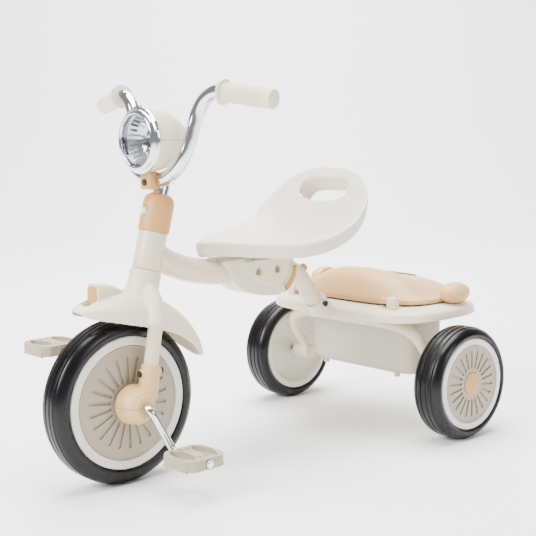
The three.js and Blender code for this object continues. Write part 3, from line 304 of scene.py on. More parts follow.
def surface(name, look):
    # Colour and roughness drift over centimetres; grain and a slower wave, both noise, make the bump.
    material = bpy.data.materials.new(name)
    material.use_nodes = True
    tree = material.node_tree
    tree.nodes.clear()
    place = addNode(tree, "TexCoord").outputs["Object"]
    drift = addNode(tree, "TexNoise", {"Vector": place, "Scale": look.get("driftScale", 18.0),
                                       "Detail": 4.0}).outputs["Fac"]
    grain = addNode(tree, "TexNoise", {"Vector": place, "Scale": look["grainScale"], "Detail": 3.0,
                                       "Roughness": 0.6}).outputs["Fac"]
    flow = addNode(tree, "TexNoise", {"Vector": place, "Scale": look.get("waveScale", 55.0),
                                      "Detail": 1.0}).outputs["Fac"]
    colour = addNode(tree, "Mix", {"Factor": drift, "A": linear(look["colour"]), "B": linear(look["second"])},
                     data_type="RGBA").outputs["Result"]
    rough = addNode(tree, "MapRange", {"Value": drift, "From Min": 0.3, "From Max": 0.7,
                                       "To Min": look["rough"][0],
                                       "To Max": look["rough"][1]}).outputs["Result"]
    height = addNode(tree, "Math", {0: flow, 1: look.get("wave", 0.0), 2: grain},
                     operation="MULTIPLY_ADD").outputs[0]
    bump = addNode(tree, "Bump", {"Height": height, "Strength": look["bump"],
                                  "Distance": look.get("depth", 0.00006)}).outputs["Normal"]
    inputs = {"Base Color": colour, "Roughness": rough, "Normal": bump, "Metallic": look.get("metallic", 0.0)}
    inputs.update(look.get("extra", {}))
    shader = addNode(tree, "BsdfPrincipled", inputs)
    addNode(tree, "OutputMaterial", {"Surface": shader.outputs[0]})
    return material


looks = {
    # Satin polypropylene, very finely sparked, as on the mudguard and the joint covers.
    "satinCreamPolypropylene": dict(colour="#E3DAC2", second="#DCD2B8", rough=(0.36, 0.46), grainScale=1500.0,
                                    bump=0.22, wave=0.5,
                                    extra={"Coat Weight": 0.08, "Coat Roughness": 0.3}),
    # The seat's polypropylene, whiter and a little more polished by use.
    "polishedCreamPolypropylene": dict(colour="#E2DDCC", second="#DBD5C2", rough=(0.32, 0.42),
                                       grainScale=1300.0, bump=0.2, wave=0.5,
                                       extra={"Subsurface Weight": 0.06,
                                              "Subsurface Radius": (0.003, 0.002, 0.0015)}),
    # The tub's greyer, matter polypropylene.
    "greyCreamPolypropylene": dict(colour="#C3BCAB", second="#BBB3A1", rough=(0.42, 0.52), grainScale=1300.0,
                                   bump=0.25, wave=0.6),
    # Cream powder coat on steel tube: a faint orange peel under a soft shine.
    "creamPowderCoat": dict(colour="#DFD2B6", second="#D8CAAC", rough=(0.26, 0.36), grainScale=700.0,
                            bump=0.16, wave=1.2, waveScale=420.0,
                            extra={"Coat Weight": 0.3, "Coat Roughness": 0.18}),
    # Sandier polypropylene of the hub covers.
    "sandPolypropylene": dict(colour="#D3B078", second="#CCA86E", rough=(0.38, 0.48), grainScale=1500.0,
                              bump=0.2, wave=0.4),
    # Peach polypropylene of the sleeve, the lamp bracket and the release button.
    "peachPolypropylene": dict(colour="#C8945A", second="#C18C50", rough=(0.4, 0.5), grainScale=1500.0,
                               bump=0.22, wave=0.4),
    # The lid's paler, smoother peach.
    "palePeachPolypropylene": dict(colour="#D6AC78", second="#D0A46E", rough=(0.36, 0.45), grainScale=1400.0,
                                   bump=0.18, wave=0.5),
    # Dark glossy inlay of the lid and the lamp's board.
    "darkPolystyrene": dict(colour="#3C393B", second="#454244", rough=(0.25, 0.35), grainScale=900.0,
                            bump=0.1),
    # Foamed rubber of the tyres: nearly black, a dull sheen and a fine skin.
    "foamedRubber": dict(colour="#030205", second="#050408", rough=(0.24, 0.34), grainScale=1100.0, bump=0.12,
                         wave=0.4,
                         extra={"Specular IOR Level": 0.3}),
    # White wheel ring.
    "whitePolypropylene": dict(colour="#DDD9CB", second="#D6D1C2", rough=(0.34, 0.44), grainScale=1400.0,
                               bump=0.18, wave=0.4),
    # Grey-beige wheel disc.
    "greigePolypropylene": dict(colour="#A39885", second="#9B907C", rough=(0.4, 0.5), grainScale=1400.0,
                                bump=0.25, wave=0.4),
    # Pedals, coarser so that a foot grips them.
    "pedalPolypropylene": dict(colour="#A49C84", second="#9B927A", rough=(0.5, 0.6), grainScale=900.0,
                               bump=0.4, depth=0.0001),
    # Natural nylon bush.
    "naturalNylon": dict(colour="#EFEDE6", second="#E9E6DD", rough=(0.4, 0.5), grainScale=1200.0, bump=0.1),
    # Bright chrome plate on steel tube, with the slight waviness of the tube under it.
    "chromePlate": dict(colour="#E4E5E8", second="#DCDDE1", rough=(0.04, 0.09), grainScale=500.0, bump=0.05,
                        metallic=1.0, wave=1.5, waveScale=90.0),
    # Zinc-plated steel of pins and brackets.
    "zincPlatedSteel": dict(colour="#A9A8A6", second="#98979A", rough=(0.3, 0.42), grainScale=800.0,
                            bump=0.15, metallic=1.0),
    # Dark plated screws.
    "blackenedSteel": dict(colour="#4A443F", second="#3B3632", rough=(0.35, 0.5), grainScale=900.0, bump=0.2,
                           metallic=1.0),
    # The lamp's clear lens: a smooth refracting wall, faintly blue.
    "clearPolycarbonate": dict(colour="#F3F7FA", second="#F0F5F9", rough=(0.02, 0.05), grainScale=300.0,
                               bump=0.02,
                               extra={"Transmission Weight": 1.0, "IOR": 1.58}),
}
material = {name: surface(name, look) for name, look in looks.items()}
print("materials made", len(material))

# Places that several pieces share.
headAngle = math.radians(15.7)
headAxis = np.array([0, math.sin(headAngle), math.cos(headAngle)])
headBack = np.array([0, math.cos(headAngle), -math.sin(headAngle)])
frontRadius, rearRadius = 125.0, 95.0
wheelbase, rearHalfTrack = 542.0, 213.0
crownHeight, neckTop, headTubeTop, sleeveTop = 164.0, 200.0, 258.0, 317.0
legSpan = 50.0
hubFace = 68.0
bothSides = (("left", 1), ("right", -1))


def alongHead(distance, x=0.0, back=0.0):
    # A place by its distance along the steering axis and behind it.
    base = np.array([x, 2.3, frontRadius])
    return base + headAxis * distance + headBack * back


pivot = alongHead(229) + np.array([0, 234.5, -50])
frontAxle = np.array([0, 0, frontRadius])

# A wheel is a tyre, a white ring and one or two slotted discs.
tyreLook = dict(grooves=(-14.0, -5.0, 5.0, 14.0), grooveWidth=1.3, grooveDepth=2.2, ribs=150, ribHeight=0.45)


def tyrePiece(radius, rimRadius, width, centre, settings):
    # Radius over the width: a flat-topped curve falling as about the fourth power towards the shoulders,
    # less each groove's bell, with cross ribs in the grooves as a high power of a cosine of the angle.
    half = width / 2
    across = np.linspace(-half, half, 97)
    spread = np.abs(across) / half
    top = radius - 0.115 * radius * spread ** 4.2
    groove = sum(np.exp(-((across - g * half / 26) / settings["grooveWidth"]) ** 4)
                 for g in settings["grooves"])
    crown = np.column_stack([top - settings["grooveDepth"] * groove, across])
    inner = softened([(top[-1], half), (rimRadius + 4, half + 0.1), (rimRadius, half - 1.5),
                      (rimRadius, -half + 1.5),
                      (rimRadius + 4, -half - 0.1), (top[0], -half)], 2, 3)[1:-1]
    profile = np.vstack([crown, inner])

    def ribs(angle, r, along):
        # Nothing but in the grooves of the tread, where the cosine's eighth power stands up.
        inGroove = sum(np.exp(-((along - g * half / 26) / settings["grooveWidth"]) ** 4)
                       for g in settings["grooves"])
        outer = r > rimRadius + 12
        return settings["ribHeight"] * inGroove * outer * np.cos(angle * settings["ribs"] / 2) ** 8

    return turned(profile, centre, (1, 0, 0), 600, loop=True, swell=ribs)


discLook = dict(thick=4.2, slotDepth=2.8, slots=22, dome=0.8, lip=0.7)


def discPiece(radius, bore, centre, side, face):
    # A thin turned plate, doming by the square of the distance in from its raised lip.
    r = np.linspace(bore, radius - 3.4, 24)
    dome = discLook["dome"] * (1 - (r / radius) ** 2)
    front = np.column_stack([r, face - discLook["lip"] + dome])
    lip = softened([(radius - 3.2, face - discLook["lip"]), (radius - 2.4, face), (radius, face),
                    (radius, face - discLook["thick"]),
                    (bore, face - discLook["thick"])], 0.4, 3)
    return turned(np.vstack([front, lip]), centre, (side, 0, 0), 180, loop=True)


def slotPieces(slotFrom, slotTo, width, centre, side, face):
    # Round-ended bars standing on spokes an equal angle apart.
    half = width / 2
    arc = np.linspace(-np.pi / 2, np.pi / 2, 9)
    ends = np.vstack([np.column_stack([slotTo - half + half * np.cos(arc), half * np.sin(arc)]),
                      np.column_stack([slotFrom + half - half * np.cos(arc), -half * np.sin(arc)])])
    pieces = []
    for k in range(discLook["slots"]):
        a = 2 * np.pi * (k + 0.5) / discLook["slots"]
        loop = np.column_stack([ends[:, 0] * np.cos(a) - ends[:, 1] * np.sin(a),
                                ends[:, 0] * np.sin(a) + ends[:, 1] * np.cos(a)])
        rings = [np.column_stack([np.full(len(loop), side * x), loop]) + centre
                 for x in (face - discLook["slotDepth"], face + 3)]
        pieces.append(skin(rings))
    return pieces


wheelLook = {
    "front": dict(rim=101.0, disc=86.5, width=52.0, slots=(31.5, 70, 5.0), bore=6.5),
    "rear": dict(rim=77.0, disc=65.5, width=56.0, slots=(26, 56, 4.4), bore=4.6),
}


def wheelPieces(prefix, body, radius, size, centre, sides, nodes):
    # The tyre round a ring turned from a waisted profile: thick at the rim and the bore, thin between.
    rim, disc, bore = size["rim"], size["disc"], size["bore"]
    tyre = meshObject(prefix + "Tyre", [tyrePiece(radius, rim, size["width"], centre, tyreLook)])
    finish(tyre, body, material["foamedRubber"], [nodes["tyre"]])
    half = size["width"] / 2
    ring = [(disc + 0.4, half - 5), (disc + 0.6, half - 1.4), (disc + 3, half - 0.7), (rim - 2.5, half - 0.9),
            (rim - 0.3, half - 2)]
    back = [(r, -x) for r, x in reversed(ring)]
    web = [(bore, 11.5), (18, 12), (disc * 0.9, half - 12)]
    profile = softened([*web, *ring, *back, *[(r, -x) for r, x in reversed(web)]], 1.6, 4, closed=True)
    shell = meshObject(prefix + "Ring", [turned(profile, centre, (1, 0, 0), 160, loop=True)])
    finish(shell, body, material["whitePolypropylene"], [nodes["rim"]])
    for side, node in sides:
        plate = meshObject(prefix + ("DiscLeft" if side > 0 else "DiscRight"),
                           [discPiece(disc - 0.4, bore + 6, centre, side, half - 2.4)])
        carved(plate, slotPieces(*size["slots"], centre, side, half - 2.4), together=True)
        finish(plate, body, material["greigePolypropylene"], [node])


wheelPieces("front", "front_wheel", frontRadius, wheelLook["front"], frontAxle,
            [(1, "front_disc_left"), (-1, "front_disc_right")],
            {"tyre": "front_tyre", "rim": "front_rim"})
capProfile = [(0.05, 24.8), (16.2, 25), (16.2, 26.0), (19.2, 26.0), (19.2, 27.6), (17.2, 28.4), (15.6, 28.0),
              (13, 28.4), (6, 29.1), (0.05, 29.2)]
for word, side in bothSides:
    hub = np.array([side * rearHalfTrack, wheelbase, rearRadius])
    wheelPieces("rear" + word.title(), "rear_wheel_" + word, rearRadius, wheelLook["rear"], hub,
                [(side, "rear_disc_" + word)],
                {"tyre": "rear_tyre_" + word, "rim": "rear_rim_" + word})
    obj = meshObject("hubCap" + word.title(), [turned(softened(capProfile, 0.7, 4), hub, (side, 0, 0), 96)])
    finish(obj, "rear_wheel_" + word, material["peachPolypropylene"], ["hub_cap_" + word])
print("wheels made")

# The crank is one bent rod, and the pedals turn on its ends.
crankLook = dict(rod=6.0, radius=75.0, angle=25.0, bend=12.0, shoulder=10.0, armOut=33.0, slant=12.0)
pedalLook = dict(width=73.0, length=72.0, height=17.0, corner=12.0, bore=6.6, leaf=(31, 11.5), leafOff=19.5)


def crankPath(side):
    # Straight from the axle, bent down the arm and out again along the pedal's spindle.
    lean = math.radians(crankLook["angle"])
    y = side * crankLook["radius"] * math.sin(lean)
    z = frontRadius - side * crankLook["radius"] * math.cos(lean)
    inner = hubFace + crankLook["armOut"]
    path = [(0, 0, frontRadius), (side * (hubFace + crankLook["shoulder"]), 0, frontRadius),
            (side * (inner - crankLook["slant"]), y, z),
            (side * (inner + pedalLook["width"] + 2), y, z)]
    return path, np.array([side * inner, y, z])


def resampled(path, count):
    # Points at equal distances along a polyline.
    path = np.asarray(path, float)
    t = np.r_[0, np.cumsum(np.linalg.norm(np.diff(path, axis=0), axis=1))]
    s = np.linspace(0, t[-1], count)
    return np.column_stack([np.interp(s, t, path[:, k]) for k in range(3)])


def pedalPiece(middle):
    # An oblong with its corners cut at 45 degrees, carried up through the pedal's height.
    w, l, h = pedalLook["width"] / 2, pedalLook["length"] / 2, pedalLook["height"] / 2
    c = pedalLook["corner"]
    loop = [(-w, -l + c), (-w + c, -l), (w - c, -l), (w, -l + c), (w, l - c), (w - c, l), (-w + c, l),
            (-w, l - c)]
    loop = softened(loop, 3.5, 5, closed=True) + np.array(middle[:2])
    return slab(loop, middle[2] - h, middle[2] + h, levelOn, 1.6)


def leafLoop(cx, cy, halfLong, halfWide, count=48):
    # Two shallow parabolas meeting in points: the width falls with the square of the place along the leaf.
    t = np.linspace(-1, 1, count // 2, endpoint=False)
    upper = np.column_stack([t * halfLong, halfWide * (1 - t ** 2)])
    return np.vstack([upper, -upper]) + np.array([cx, cy])


crankPieces = []
capEnd = softened([(0.05, 0), (4.6, 0), (4.6, 0.8), (3, 1.6), (0.05, 1.8)], 0.5, 4)
footProfile = softened([(0.05, 0), (1.5, 0), (2.2, 2.4), (0.05, 2.4)], 0.6, 3)
for word, side in bothSides:
    path, inner = crankPath(side)
    crankPieces.append(tube(resampled(softened(path, crankLook["bend"], 10), 120), crankLook["rod"], 28))
    middle = inner + np.array([side * pedalLook["width"] / 2, 0, 0])
    outer = inner + np.array([side * (pedalLook["width"] + 1.5), 0, 0])
    crankPieces.append(turned(capEnd, outer, (side, 0, 0), 40))
    x, y, z = middle
    obj = meshObject("pedal" + word.title(), [pedalPiece(middle)])
    cutters = [slab(leafLoop(x, y + k * pedalLook["leafOff"], *pedalLook["leaf"]), z - 20, z + 20, levelOn,
                    0.1)
               for k in (-1, 1)]
    cutters += [rodPiece(inner - (side * 5, 0, 0), middle + (side * 45, 0, 0), pedalLook["bore"])]
    for k in (-1, 1):  # small arrowheads sunk in the top
        for m in (-1, 1):
            arrow = np.array([(-3.4, -2.2), (3.4, -2.2), (0, 3.2)]) * [1, -k] + [x + m * 22, y + k * 4.5]
            cutters.append(slab(arrow, z + 6.6, z + 20, levelOn, 0.05))
    carved(obj, cutters)
    studs = [slab(superLoop(30 - 3 * abs(k), 0.7, 4, 24, (x, y + k * 10.5)), z + 8, z + 9.2, levelOn, 0.3)
             for k in (-3.1, 3.1, -0.85, 0.85)]
    for k in (-1, 1):  # rows of feet under both edges
        for step in np.linspace(-26, 26, 8):
            foot = middle + (step, k * 33.4, -pedalLook["height"] / 2 - 1.6)
            studs.append(turned(footProfile, foot, (0, 0, 1), 16))
    ridge = meshObject("pedalRidges" + word.title(), studs)
    finish(obj, "pedal_" + word, material["pedalPolypropylene"], ["pedal_" + word], 30)
    finish(ridge, "pedal_" + word, material["pedalPolypropylene"], [])
finish(meshObject("crankRod", crankPieces), "front_wheel", material["chromePlate"], ["crank"])
print("crank and pedals made")

# The legs end in the hub covers, and the mudguard sits on the crown.
forkLook = dict(leg=11.0, steerer=15.2, crown=20.0, straightFrom=44.0, footAhead=12.0, footRise=28.0,
                rake=0.235)


def legEnds(side):
    # Where a leg's straight part starts under the crown, and where it ends over the axle.
    foot = np.array([side * legSpan, forkLook["footAhead"] + forkLook["footRise"] * forkLook["rake"],
                     frontRadius + forkLook["footRise"]])
    return alongHead(crownHeight - forkLook["straightFrom"], side * legSpan), foot


def legPath(side, count=60):
    # A cubic curve from the crown out over the shoulder, then straight down to the foot.
    high, foot = legEnds(side)
    a = alongHead(crownHeight + 12, side * 6)
    b = alongHead(crownHeight - 2, side * (legSpan - 22))
    c = alongHead(crownHeight - 22, side * legSpan)
    t = np.linspace(0, 1, count)[:, None]
    bend = (1 - t) ** 3 * a + 3 * t * (1 - t) ** 2 * b + 3 * t ** 2 * (1 - t) * c + t ** 3 * high
    return np.vstack([bend, high + (foot - high) * np.linspace(0.05, 1, 20)[:, None]]), bend


def legPoint(z, side):
    # A place on the straight of a leg by its height.
    high, foot = legEnds(side)
    return foot + (high - foot) * (z - foot[2]) / (high[2] - foot[2])


def headTurned(low, high, radius, round):
    # A plug round the steering axis between two heights.
    profile = softened([(0.05, low), (radius, low), (radius, high), (0.05, high)], round)
    return turned(profile, alongHead(0), headAxis, 48)


steerer = headTurned(neckTop - 10, sleeveTop - 20, forkLook["steerer"], 0.6)
crownBlock = headTurned(crownHeight - 8, neckTop - 4, forkLook["crown"], 2)
legs = [tube(legPath(side)[0], forkLook["leg"], 40) for side in (1, -1)]
fork = meshObject("forkTube", [*legs, crownBlock, steerer])
finish(fork, "steering", material["creamPowderCoat"], ["fork"])

hubCoverLook = dict(voxel=0.9, passes=6, seam=0.35, socketLow=134, boltHeight=172,
                    dome=[(0.05, 29.6), (30, 29.6), (30.2, 36), (28, 52), (22, 62.5), (17.5, 65.5),
                          (16.5, 68), (9.5, 68), (9, 66.5), (0.05, 66.5)],
                    socket=[(0.05, 0), (15.4, 0), (14.9, 35), (14.2, 50), (0.05, 50)])
boltLook = dict(head=[(0.05, 0), (1.6, 0), (2.2, 1.2), (4.9, 1.2), (4.9, 3.6), (0.05, 3.6)],
                nut=[(0.05, 17.8), (5.4, 17.8), (5.4, 21.8), (0.05, 21.8)])
for word, side in bothSides:
    domePiece = turned(softened(hubCoverLook["dome"], 3.2, 7), frontAxle, (side, 0, 0), 96)
    low = legPoint(hubCoverLook["socketLow"], side)
    socket = turned(softened(hubCoverLook["socket"], 1.6, 5), low, legPoint(180, side) - low, 56)
    bolt = legPoint(hubCoverLook["boltHeight"], side)
    pads = [rodPiece(bolt, bolt + (0, end * 17.6, 0), 6.8, 32, 1.2) for end in (-1, 1)]
    cover = fused(meshObject("hubCover" + word.title(), [domePiece, socket, *pads]), hubCoverLook["voxel"],
                  hubCoverLook["passes"])
    seam = hubCoverLook["seam"]
    carved(cover, [boxPiece((side * 49 - 60, -50, frontRadius - seam),
                            (side * 49 + 60, 50, frontRadius + seam), 0.05)])
    finish(cover, "steering", material["sandPolypropylene"],
           ["hub_cover_" + word + "_upper", "hub_cover_" + word + "_lower"])
    head = turned(softened(boltLook["head"][::-1], 0.6, 4), bolt - (0, 21.2, 0), (0, 1, 0), 32)
    shank = rodPiece(bolt - (0, 18, 0), bolt + (0, 20, 0), 3)
    nut = turned(softened(boltLook["nut"], 0.5), bolt, (0, 1, 0), 6)
    finish(meshObject("legBolt" + word.title(), [head, shank, nut]), "steering", material["blackenedSteel"],
           ["leg_bolt_" + word], 25)

mudguardLook = dict(wall=3.2, start=-27.0, sweep=101.0, noseHalf=7.0, bellyHalf=44.0, lipDrop=44.0, voxel=1.3,
                    passes=9)
lampZ = frontRadius + crownHeight


def mudguardSheet(inset, lengthCount=90, widthCount=60):
    # u runs nose to tail and v lip to lip: width and lip drop both follow powers of a sine of u.
    u = np.linspace(0, 1, lengthCount)[:, None]
    v = np.linspace(-1, 1, widthCount)[None, :]
    angle = np.radians(mudguardLook["start"] + mudguardLook["sweep"] * u)
    swellU = np.maximum(np.sin(np.pi * u ** 0.8), 0)
    halfWidth = mudguardLook["noseHalf"] + mudguardLook["bellyHalf"] * swellU ** 0.62
    drop = 2 + mudguardLook["lipDrop"] * swellU ** 0.75
    crown = crownHeight - inset
    radius = crown - drop * (1 - np.cos(v * np.pi / 2) ** 0.85)
    x = (halfWidth - inset) * np.sin(v * np.pi / 2)
    return np.stack([x, radius * np.sin(angle), frontRadius + radius * np.cos(angle)], -1)


def housing(y, halfX, low, high):
    # An upright superellipse between two heights, at a place along the tricycle.
    loop = superLoop(halfX, (high - low) / 2, 3.0, 48, (0, (low + high) / 2))
    return np.column_stack([loop[:, 0], np.full(48, float(y)), loop[:, 1]])


def mudguardPieces():
    # The sheet between its two surfaces, a flared neck, a bulge over each leg and the lamp's housing.
    outer, inner = mudguardSheet(0), mudguardSheet(mudguardLook["wall"])
    shell = skin(np.concatenate([outer, inner[:, ::-1]], axis=1))
    neck = turned(softened([(0.05, crownHeight - 12), (29, crownHeight - 12), (26, crownHeight + 2),
                            (24.2, crownHeight + 12),
                            (24, neckTop - 0.4), (0.05, neckTop - 0.4)], 3, 6), alongHead(0), headAxis, 72)
    bulges = [tube(legPath(s, 40)[1], 14.2, 40) for s in (1, -1)]
    lamp = skin([housing(-41, 15, lampZ - 24, lampZ + 19), housing(-30, 14.5, lampZ - 20, lampZ + 18),
                 housing(-12, 12, lampZ - 12, lampZ + 14),
                 housing(8, 8, lampZ - 6, lampZ + 5)])
    return [shell, neck, *bulges, lamp]


mudguard = fused(meshObject("mudguardShell", mudguardPieces()), mudguardLook["voxel"], mudguardLook["passes"])
wheelRoom = turned([(0.05, -29), (133, -29), (133, 29), (0.05, 29)], frontAxle, (1, 0, 0), 160)
facePocket = boxPiece((-12.2, -60, lampZ - 13.2), (12.2, -39.6, lampZ + 14.2), 1)
carved(mudguard, [wheelRoom, skin(mudguardSheet(mudguardLook["wall"] + 0.2)), facePocket])
finish(mudguard, "steering", material["satinCreamPolypropylene"], ["mudguard"])
faceLoop = softened([(-11.7, lampZ - 12.7), (11.7, lampZ - 12.7), (11.7, lampZ + 7), (7, lampZ + 13.7),
                     (-7, lampZ + 13.7), (-11.7, lampZ + 7)], 3.5, 5, closed=True)
face = meshObject("mudguardLampFace", [slab(faceLoop, -42.5, -39.4, frontOn, 0.7)])
finish(face, "steering", material["peachPolypropylene"], ["mudguard_lamp"])
print("fork and mudguard made")

# The sleeve holds the bar's stem, and its push button frees the height.
sleeveProfile = [(16, headTubeTop + 0.4), (24, headTubeTop + 0.4), (24, sleeveTop - 13), (21, sleeveTop - 4),
                 (15, sleeveTop), (13.3, sleeveTop - 1),
                 (13.3, sleeveTop - 17), (16, sleeveTop - 17)]
sleeve = meshObject("steeringSleeve", [turned(softened(sleeveProfile, 3.4, 6, closed=True), alongHead(0),
                                              headAxis, 96, loop=True)])
buttonPlace = sleeveTop - 30
carved(sleeve, [rodPiece(alongHead(buttonPlace, 0, -17.5), alongHead(buttonPlace, 0, -34), 6.4, 40, 0.1)])
finish(sleeve, "steering", material["peachPolypropylene"], ["steering_sleeve"])
knob = turned(softened([(0.05, 0), (5.8, 0), (5.8, 4.6), (4.6, 5.5), (0.05, 5.8)], 0.8, 5),
              alongHead(buttonPlace, 0, -21), -headBack, 40)
finish(meshObject("heightButton", [knob]), "stem_button", material["satinCreamPolypropylene"],
       ["stem_button"])
headProfile = softened([(19.8, neckTop + 0.2), (22, neckTop + 0.2), (22, headTubeTop), (19.8, headTubeTop)],
                       0.7, 4, closed=True)
finish(meshObject("headTube", [turned(headProfile, alongHead(0), headAxis, 96, loop=True)]), "front_frame",
       material["creamPowderCoat"], ["head_tube"])

barLook = dict(radius=11, stem=12.5, gripRun=[87.0, 23, -13], gripAt=(127, 30, 128), onGrip=(-7, 8, 45, 84),
               bends=[(26, -1, 3), (48, 0, 14), (63, 4, 32), (71, 10, 54), (76, 15, 78), (82, 20, 100),
                      (93, 23, 116), (106, 25.5, 125)])
barBottom = alongHead(sleeveTop + 20, 0, -13)
gripOut = np.array(barLook["gripRun"]) / np.linalg.norm(barLook["gripRun"])
gripStart = barBottom + barLook["gripAt"]


def barPath():
    # A smooth curve through one side's bends, mirrored for the other.
    half = [barBottom + bend for bend in barLook["bends"]]
    half += [gripStart + gripOut * along for along in barLook["onGrip"]]
    right = [p * (-1, 1, 1) for p in half[::-1]]
    return through([*right, barBottom, *half], 260)


stem = rodPiece(alongHead(neckTop + 6), alongHead(sleeveTop + 25), barLook["stem"], 56, 1.5)
finish(meshObject("handlebarTube", [tube(barPath(), barLook["radius"], 40), stem]), "handlebar",
       material["chromePlate"], ["handlebar"])

gripLook = dict(ribs=15, ribHeight=1.3, radius=13.2, ribsFrom=9, ribsTo=79)
along = np.linspace(5, 86, 200)
ribZone = (along > gripLook["ribsFrom"]) & (along < gripLook["ribsTo"])
# Ribs are the root-like power of a sine along the grip, and the plain ends stand as high as their tops.
ridges = np.abs(np.sin(np.pi * (along - gripLook["ribsFrom"]) * gripLook["ribs"] / 70)) ** 0.6 * ribZone
ribbed = gripLook["radius"] + gripLook["ribHeight"] * np.where(ribZone, ridges, 1.0)
gripProfile = np.vstack([softened([(11.6, 0), (19, 0), (19.4, 3.8), (14.6, 4.8)], 1.2, 4),
                         np.column_stack([ribbed, along]),
                         softened([(14.5, 86.5), (14.3, 89.8), (0.05, 90)], 1.0, 4)])
for word, side in bothSides:
    grip = turned(gripProfile, gripStart * (side, 1, 1), gripOut * (side, 1, 1), 72)
    finish(meshObject("grip" + word.title(), [grip]), "handlebar", material["satinCreamPolypropylene"],
           ["grip_" + word], 50)
print("steering made")

# The lamp hangs on a bracket in front of the bar.
lampLook = dict(shellOut=[(48.5, 0), (47.6, 16), (44.4, 37), (33.5, 58), (15, 78), (0.05, 84)],
                shellIn=[(0.05, 81), (13.5, 75.6), (31.5, 56), (42, 36), (45.2, 15), (46.1, 0)],
                bezel=[(48.6, -0.4), (50.6, -2), (49.8, -6.5), (46.6, -7.6), (45.8, -10.2), (42.6, -13.2),
                       (40, -13.4), (38.8, -11),
                       (38.9, -5), (41, -0.4)],
                lens=[(0.05, -10.4), (20, -9.7), (30, -8.6), (38, -7.0), (38, -5.8), (30, -7.4), (20, -8.5),
                      (0.05, -9.2)],
                bowl=[(0.05, 21.6), (19, 21.6), (25, 19), (31, 13), (36, 4), (38, 0.4), (45, 0.4), (45, 2.2),
                      (39.5, 2.4), (26, 24), (0.05, 24)],
                emitter=[(0.05, 0), (4.6, 0), (4.6, 1.6), (2.9, 2.2), (2.7, 9), (1.6, 10.6), (0.05, 11)],
                seam=0.3, flutes=18, fluteDepth=0.9, emitters=3, emitterRing=12)
lampMiddle = np.array([0, barBottom[1] - 24, barBottom[2] + 60])


def lampTurned(profile, sides=128, loop=False, round=0.8, swell=None):
    # A profile (radius, back from the lamp's middle) carried round the lamp's level axis.
    return turned(softened(profile, round, 5, closed=loop), lampMiddle, (0, 1, 0), sides, loop, swell)


def facets(angle, r, along):
    # Flutes round the bowl as the size of a cosine of the angle, deepest halfway up.
    flute = np.abs(np.cos(angle * lampLook["flutes"] / 2))
    return lampLook["fluteDepth"] * flute * np.clip((r - 20) / 10, 0, 1) * np.clip((42 - r) / 8, 0, 1)


lampY, lampHeight = lampMiddle[1:]
shellLoop = softened(lampLook["shellOut"] + lampLook["shellIn"], 7, 10, closed=True)
shell = meshObject("lampShell", [turned(shellLoop, lampMiddle, (0, 1, 0), 128, loop=True)])
carved(shell, [boxPiece((-70, lampY - 10, lampHeight - lampLook["seam"]),
                        (70, lampY + 76, lampHeight + lampLook["seam"]), 0.05)])
finish(shell, "handlebar", material["satinCreamPolypropylene"], ["lamp_shell_upper", "lamp_shell_lower"])
tab = slab(softened([(-5, lampHeight + 47), (5, lampHeight + 47), (3.4, lampHeight + 53),
                     (-3.4, lampHeight + 53)], 1.6, 4, closed=True),
           lampY - 6, lampY - 0.6, frontOn, 0.8)
bezel = meshObject("lampBezel", [lampTurned(lampLook["bezel"], loop=True, round=1.1), tab])
finish(bezel, "handlebar", material["chromePlate"], ["lamp_bezel"])
finish(meshObject("lampLens", [lampTurned(lampLook["lens"])]), "handlebar", material["clearPolycarbonate"],
       ["lamp_lens"])
bowl = meshObject("lampReflector", [lampTurned(lampLook["bowl"], 216, round=1.2, swell=facets)])
finish(bowl, "handlebar", material["chromePlate"], ["lamp_reflector"])
board = []
for k in range(lampLook["emitters"]):
    a = math.radians(90 + 120 * k)
    place = lampMiddle + (lampLook["emitterRing"] * math.cos(a), 21.4, lampLook["emitterRing"] * math.sin(a))
    board.append(turned(softened(lampLook["emitter"], 0.7, 4), place, (0, -1, 0), 32))
board.append(turned(softened([(0.05, 0), (3.4, 0), (3.2, 5), (0.05, 6)], 0.7, 4), lampMiddle + (0, 21.4, 0),
                    (0, -1, 0), 32))
finish(meshObject("lampBoard", board), "handlebar", material["darkPolystyrene"], ["lamp_board"])

bracketFront = barBottom[1] - 21
boltZ = barBottom[2] - 3
saddle = boxPiece((-14, bracketFront, barBottom[2] - 14), (14, barBottom[1] - 4, barBottom[2] + 13), 2.5)
post = boxPiece((-10, bracketFront, barBottom[2]), (10, barBottom[1] - 12.5, lampMiddle[2] - 44), 2.5)
bracket = fused(meshObject("lampBracket", [saddle, post]), 0.7, 4)
carved(bracket, [rodPiece(alongHead(neckTop), alongHead(sleeveTop + 45), barLook["stem"] + 0.4, 48),
                 tube(barPath(), barLook["radius"] + 0.4, 40),
                 turned([(0.05, -0.4), (48.9, -0.4), (48, 16), (44.8, 37), (0.05, 60)], lampMiddle, (0, 1, 0),
                        96)])
finish(bracket, "handlebar", material["peachPolypropylene"], ["lamp_bracket"])
boltHead = turned(softened([(0.05, 3.4), (4.9, 3.4), (4.9, 1), (2.4, 1), (1.6, 0), (0.05, 0)], 0.6),
                  (0, bracketFront - 3.6, boltZ), (0, 1, 0), 32)
nutY = alongHead(sleeveTop + 17)[1] + 15
boltShank = rodPiece((0, bracketFront - 2, boltZ), (0, nutY + 3, boltZ), 3)
boltNut = rodPiece((0, nutY, boltZ), (0, nutY + 3.8, boltZ), 5.2, 6)
finish(meshObject("lampBolt", [boltHead, boltShank, boltNut]), "handlebar", material["blackenedSteel"],
       ["lamp_bolt"], 25)
print("lamp made")

